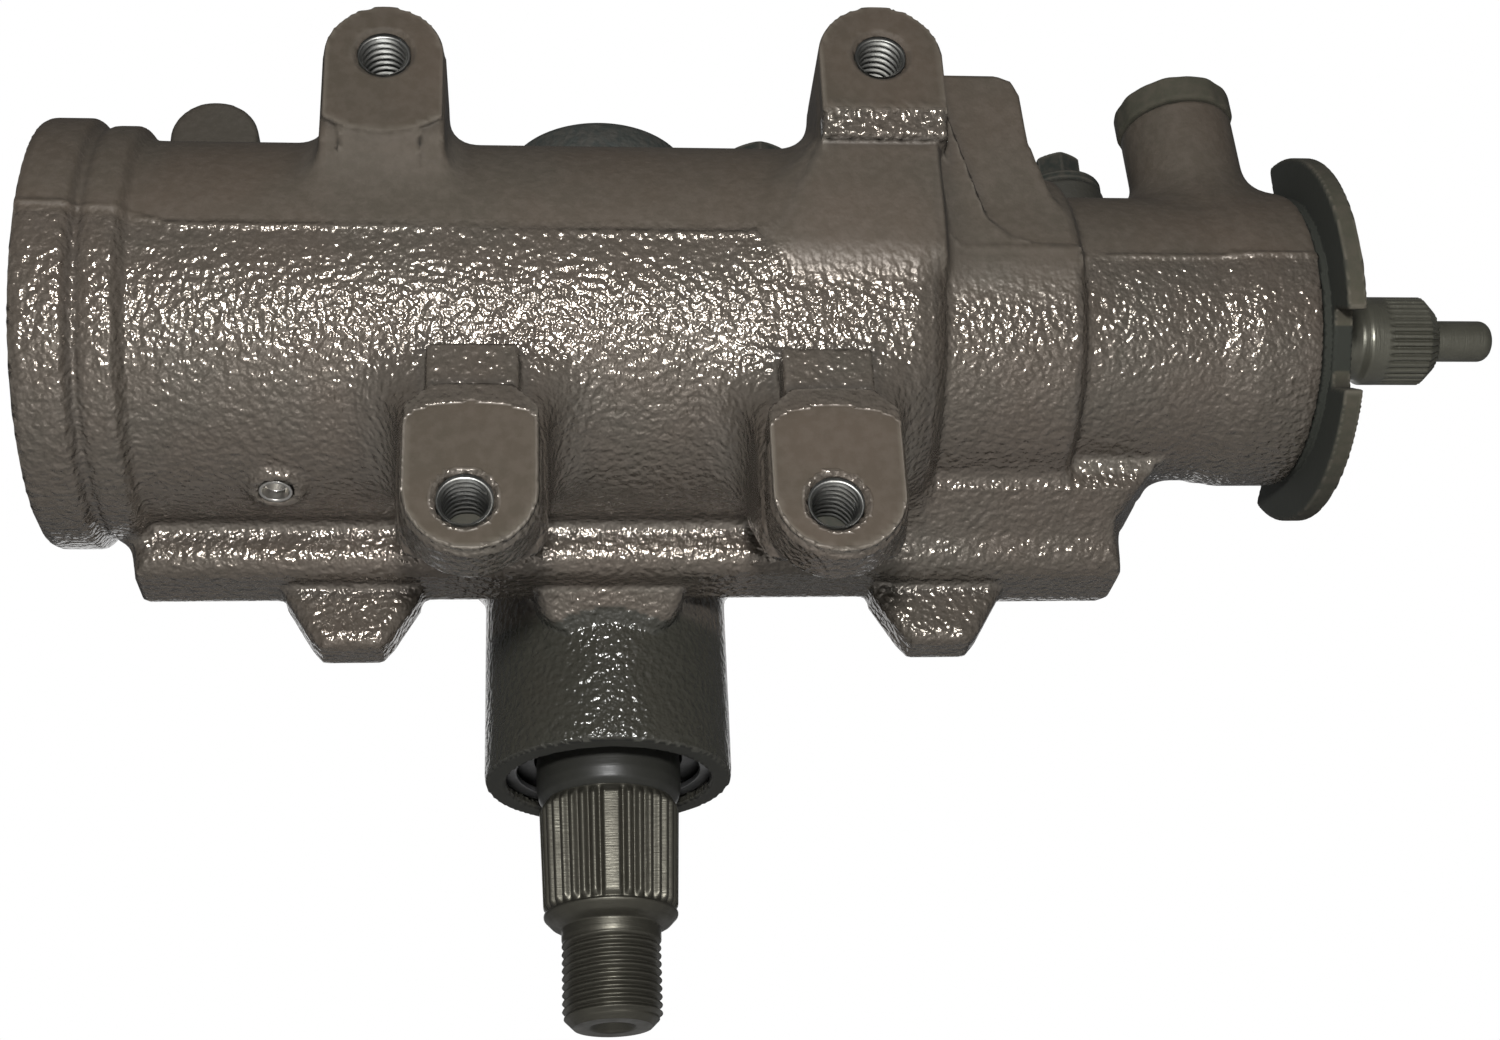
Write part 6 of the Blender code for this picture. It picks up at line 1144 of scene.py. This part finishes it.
def stub_end():
    """The input shaft outside its bearing: neck, collar, serrations with a chamfer, and a round pilot."""
    start, chamfer, pilot_start, pilot_nose = 157.0, 187.9, 190.8, 2.6
    collar, crown, pilot_radius = 8.9, 10.2, 4.74
    turn = turns(SPLINE_SIDES)
    runs = ((171.6, 175.4, 0.25), (176.0, 183.0, 0.3), (183.0, 191.4, 0.35), (191.4, 202.6, 1.6))
    nose = INPUT_TIP - pilot_nose + pilot_nose * np.sin(np.linspace(0, 1, 9) * np.pi / 2)
    neck = [start, 158.3, 158.6, 160.0, 160.6, 166.0, 171.4]
    stations = np.concatenate([neck, *(np.arange(*run) for run in runs), nose])
    along = stations[:, None]
    crest = collar + (crown - collar) * eased(along, 171.8, 174.2)
    crest = np.where(along > chamfer, crown - (along - chamfer), crest)
    tooth = crest - 0.75 * toothed(turn, 0.3) * eased(along, 177.6, 179.6)
    radii = np.where(along < 160.6, 11.0 - 2.1 * eased(along, 158.4, 160.5), tooth)
    fall = np.maximum(along - INPUT_TIP + pilot_nose, 0)
    pilot = pilot_radius - pilot_nose + np.sqrt(np.maximum(pilot_nose**2 - fall**2, 0))
    radii = np.where(along > pilot_start, pilot, np.maximum(radii, 4.7))
    heights = np.concatenate([[start], stations, [INPUT_TIP]])
    points, faces = wrapped(heights, stacked(SPLINE_SIDES, [0.0], radii, [0.0]), SPLINE_SIDES, "x")
    mesh_piece("stub_shaft_end", points, faces, sprayed_steel, "stub_shaft")
    copied_node("stub_shaft", bright_steel, "stub_shaft_inner", (0, start, -1))


def snap_ring():
    """A flat split ring with rounded rims: a slot-shaped section carried round all but a short gap."""
    sides = 120
    section = rounded([(-83.4, 21.0), (-83.4, 24.4), (-82.1, 24.4), (-82.1, 21.0)], 0.3, True)
    turn = np.radians(np.linspace(99, 441, sides))
    spokes = np.stack([np.cos(turn), np.sin(turn), np.zeros(sides)], 1)
    points = section[None, :, 1:] * spokes[:, None] + np.array([0, PITMAN_Y, 0])
    points[:, :, 2] += section[:, 0]
    count = len(section)
    quads = np.roll(between_rings(sides, count)[:, ::-1], 1, axis=1)
    column = np.arange(count)
    after = (column + 1) % count
    points = points.reshape(-1, 3)
    base = (sides - 1) * count
    first, last = len(points), len(points) + 1
    ends = [points[:count].mean(0), points[-count:].mean(0)]
    caps = [
        np.stack([np.full(count, first), column, after], 1),
        np.stack([np.full(count, last), base + after, base + column], 1),
    ]
    points = np.concatenate([points, ends])
    mesh_piece("boss_snap_ring", points, [quads, np.concatenate(caps)], blued_steel, "pitman_snap_ring")


def boss_fillings():
    """The outer seal with its lips and the washer below it, as turned rings round the output shaft."""
    centre, inner, outer = (0, PITMAN_Y, 0), 16.9, 23.2
    low, high = -78.8, -72.3
    seal = [(low, 20.4), (low, outer), (high, outer), (high, inner), (low + 1.2, inner), (low + 0.6, 17.6)]
    seal += [(low + 3.4, 18.6), (low + 3.4, 20.0)]
    turned_piece("pitman_outer_seal_ring", seal, "z", nitrile, "pitman_outer_seal", centre, True, 0.3)
    low, high = -80.7, -79.1
    washer = [(low, inner), (low, outer), (high, outer), (high, inner)]
    turned_piece(
        "pitman_backup_washer_ring", washer, "z", blued_steel, "pitman_backup_washer", centre, True, 0.3
    )


def inner_pieces():
    """Every node that nothing above stands for: its own solid, smoothed, in its slot's finish."""
    for node, source in sorted(frame["nodes"].items()):
        if node not in dressed:
            copied_node(node, SLOT_FINISH[source.material_slots[0].name])


# Camera, floor and light

PHOTO_WIDTH = 1500
FOCAL = 2136
SENSOR_WIDTH = 36
CAMERA_AT = (-14.90, -411.62, -251.81)
CAMERA_HEADING = math.radians(6.2)
CAMERA_CLIMB = math.radians(26.44)
CAMERA_ROLL = math.radians(-2.99)
FLOOR_HEIGHT = -300.0
FLOOR_REACH = 12000
FLOOR_SHADE = (0.82, 0.82, 0.82, 1)
WHITE = (1, 1, 1, 1)
FLOOR_GLOW = 0.45
WORLD_LIGHT = 0.26
GLOSSY_LIGHT = 0.12
LAMP_AIM = (-0.2, 0.0, 0.0)
# Each lamp's name, place and size in metres, and watts
LAMPS = (
    ("flash", (-0.22, -0.5, -0.16), 0.05, 5.4),
    ("soft front", (-0.3, -0.8, -0.1), 0.5, 0.3),
    ("back fill", (-0.2, 0.8, 0.3), 0.7, 2.0),
)


def camera():
    """The photo's camera: it looks along its heading from y, climbs from level, and rolls about its sight."""
    data = bpy.data.cameras.new("camera")
    data.sensor_width = SENSOR_WIDTH
    data.lens = FOCAL / PHOTO_WIDTH * data.sensor_width
    viewer = in_scene("camera", data)
    heading = Matrix.Rotation(-CAMERA_HEADING, 4, "Z")
    climb = Matrix.Rotation(math.pi / 2 + CAMERA_CLIMB, 4, "X")
    roll = Matrix.Rotation(CAMERA_ROLL, 4, "Z")
    viewer.matrix_world = Matrix.Translation(placed(np.array(CAMERA_AT))) @ heading @ climb @ roll
    bpy.context.scene.camera = viewer


def white_to_rays(make, plain, glossy, white):
    """A strength: plain for light on the part, glossy for its mirror image, and white for the camera."""
    path = make.add("LightPath")
    seen = make.sum("MAXIMUM", path.outputs["Is Camera Ray"], path.outputs["Is Transmission Ray"])
    mirrored = make.times(path.outputs["Is Glossy Ray"], glossy - plain)
    return make.plus(mirrored, make.plus(make.times(seen, white - plain), plain))


def studio():
    """A white surround, a pale floor below the part, a small flash by the camera and a soft frontal lamp."""
    world = bpy.data.worlds.new("studio")
    bpy.context.scene.world = world
    world.use_nodes = True
    background = world.node_tree.nodes["Background"]
    background.inputs["Color"].default_value = WHITE
    make = Shading(world.node_tree)
    make.put(white_to_rays(make, WORLD_LIGHT, GLOSSY_LIGHT, 1.0), background.inputs["Strength"])
    corners = [(-1, -1), (1, -1), (1, 1), (-1, 1)]
    points = np.array([(x * FLOOR_REACH, y * FLOOR_REACH, FLOOR_HEIGHT) for x, y in corners], float)
    mesh = bpy.data.meshes.new("floor")
    mesh.from_pydata(placed(points).tolist(), [], [(0, 1, 2, 3)])
    floor = in_scene("floor", mesh)
    material, make, shader = blank_material("pale floor")
    glow = white_to_rays(make, 0.0, 0.0, FLOOR_GLOW)
    make.feed(shader, {"Base Color": FLOOR_SHADE, "Roughness": 0.9})
    make.feed(shader, {"Emission Color": WHITE, "Emission Strength": glow})
    mesh.materials.append(material)
    for name, at, size, watts in LAMPS:
        data = bpy.data.lights.new(name, "AREA")
        data.size = size
        data.energy = watts
        lamp = in_scene(name, data)
        lamp.location = at
        aim = Vector(LAMP_AIM) - Vector(at)
        lamp.rotation_euler = aim.to_track_quat("-Z", "Y").to_euler()


gear_housing()
bolted_on()
passage_plug()
tapped_holes()
pitman_end()
stub_end()
snap_ring()
boss_fillings()
inner_pieces()
camera()
studio()
bpy.context.scene.view_settings.view_transform = "Standard"
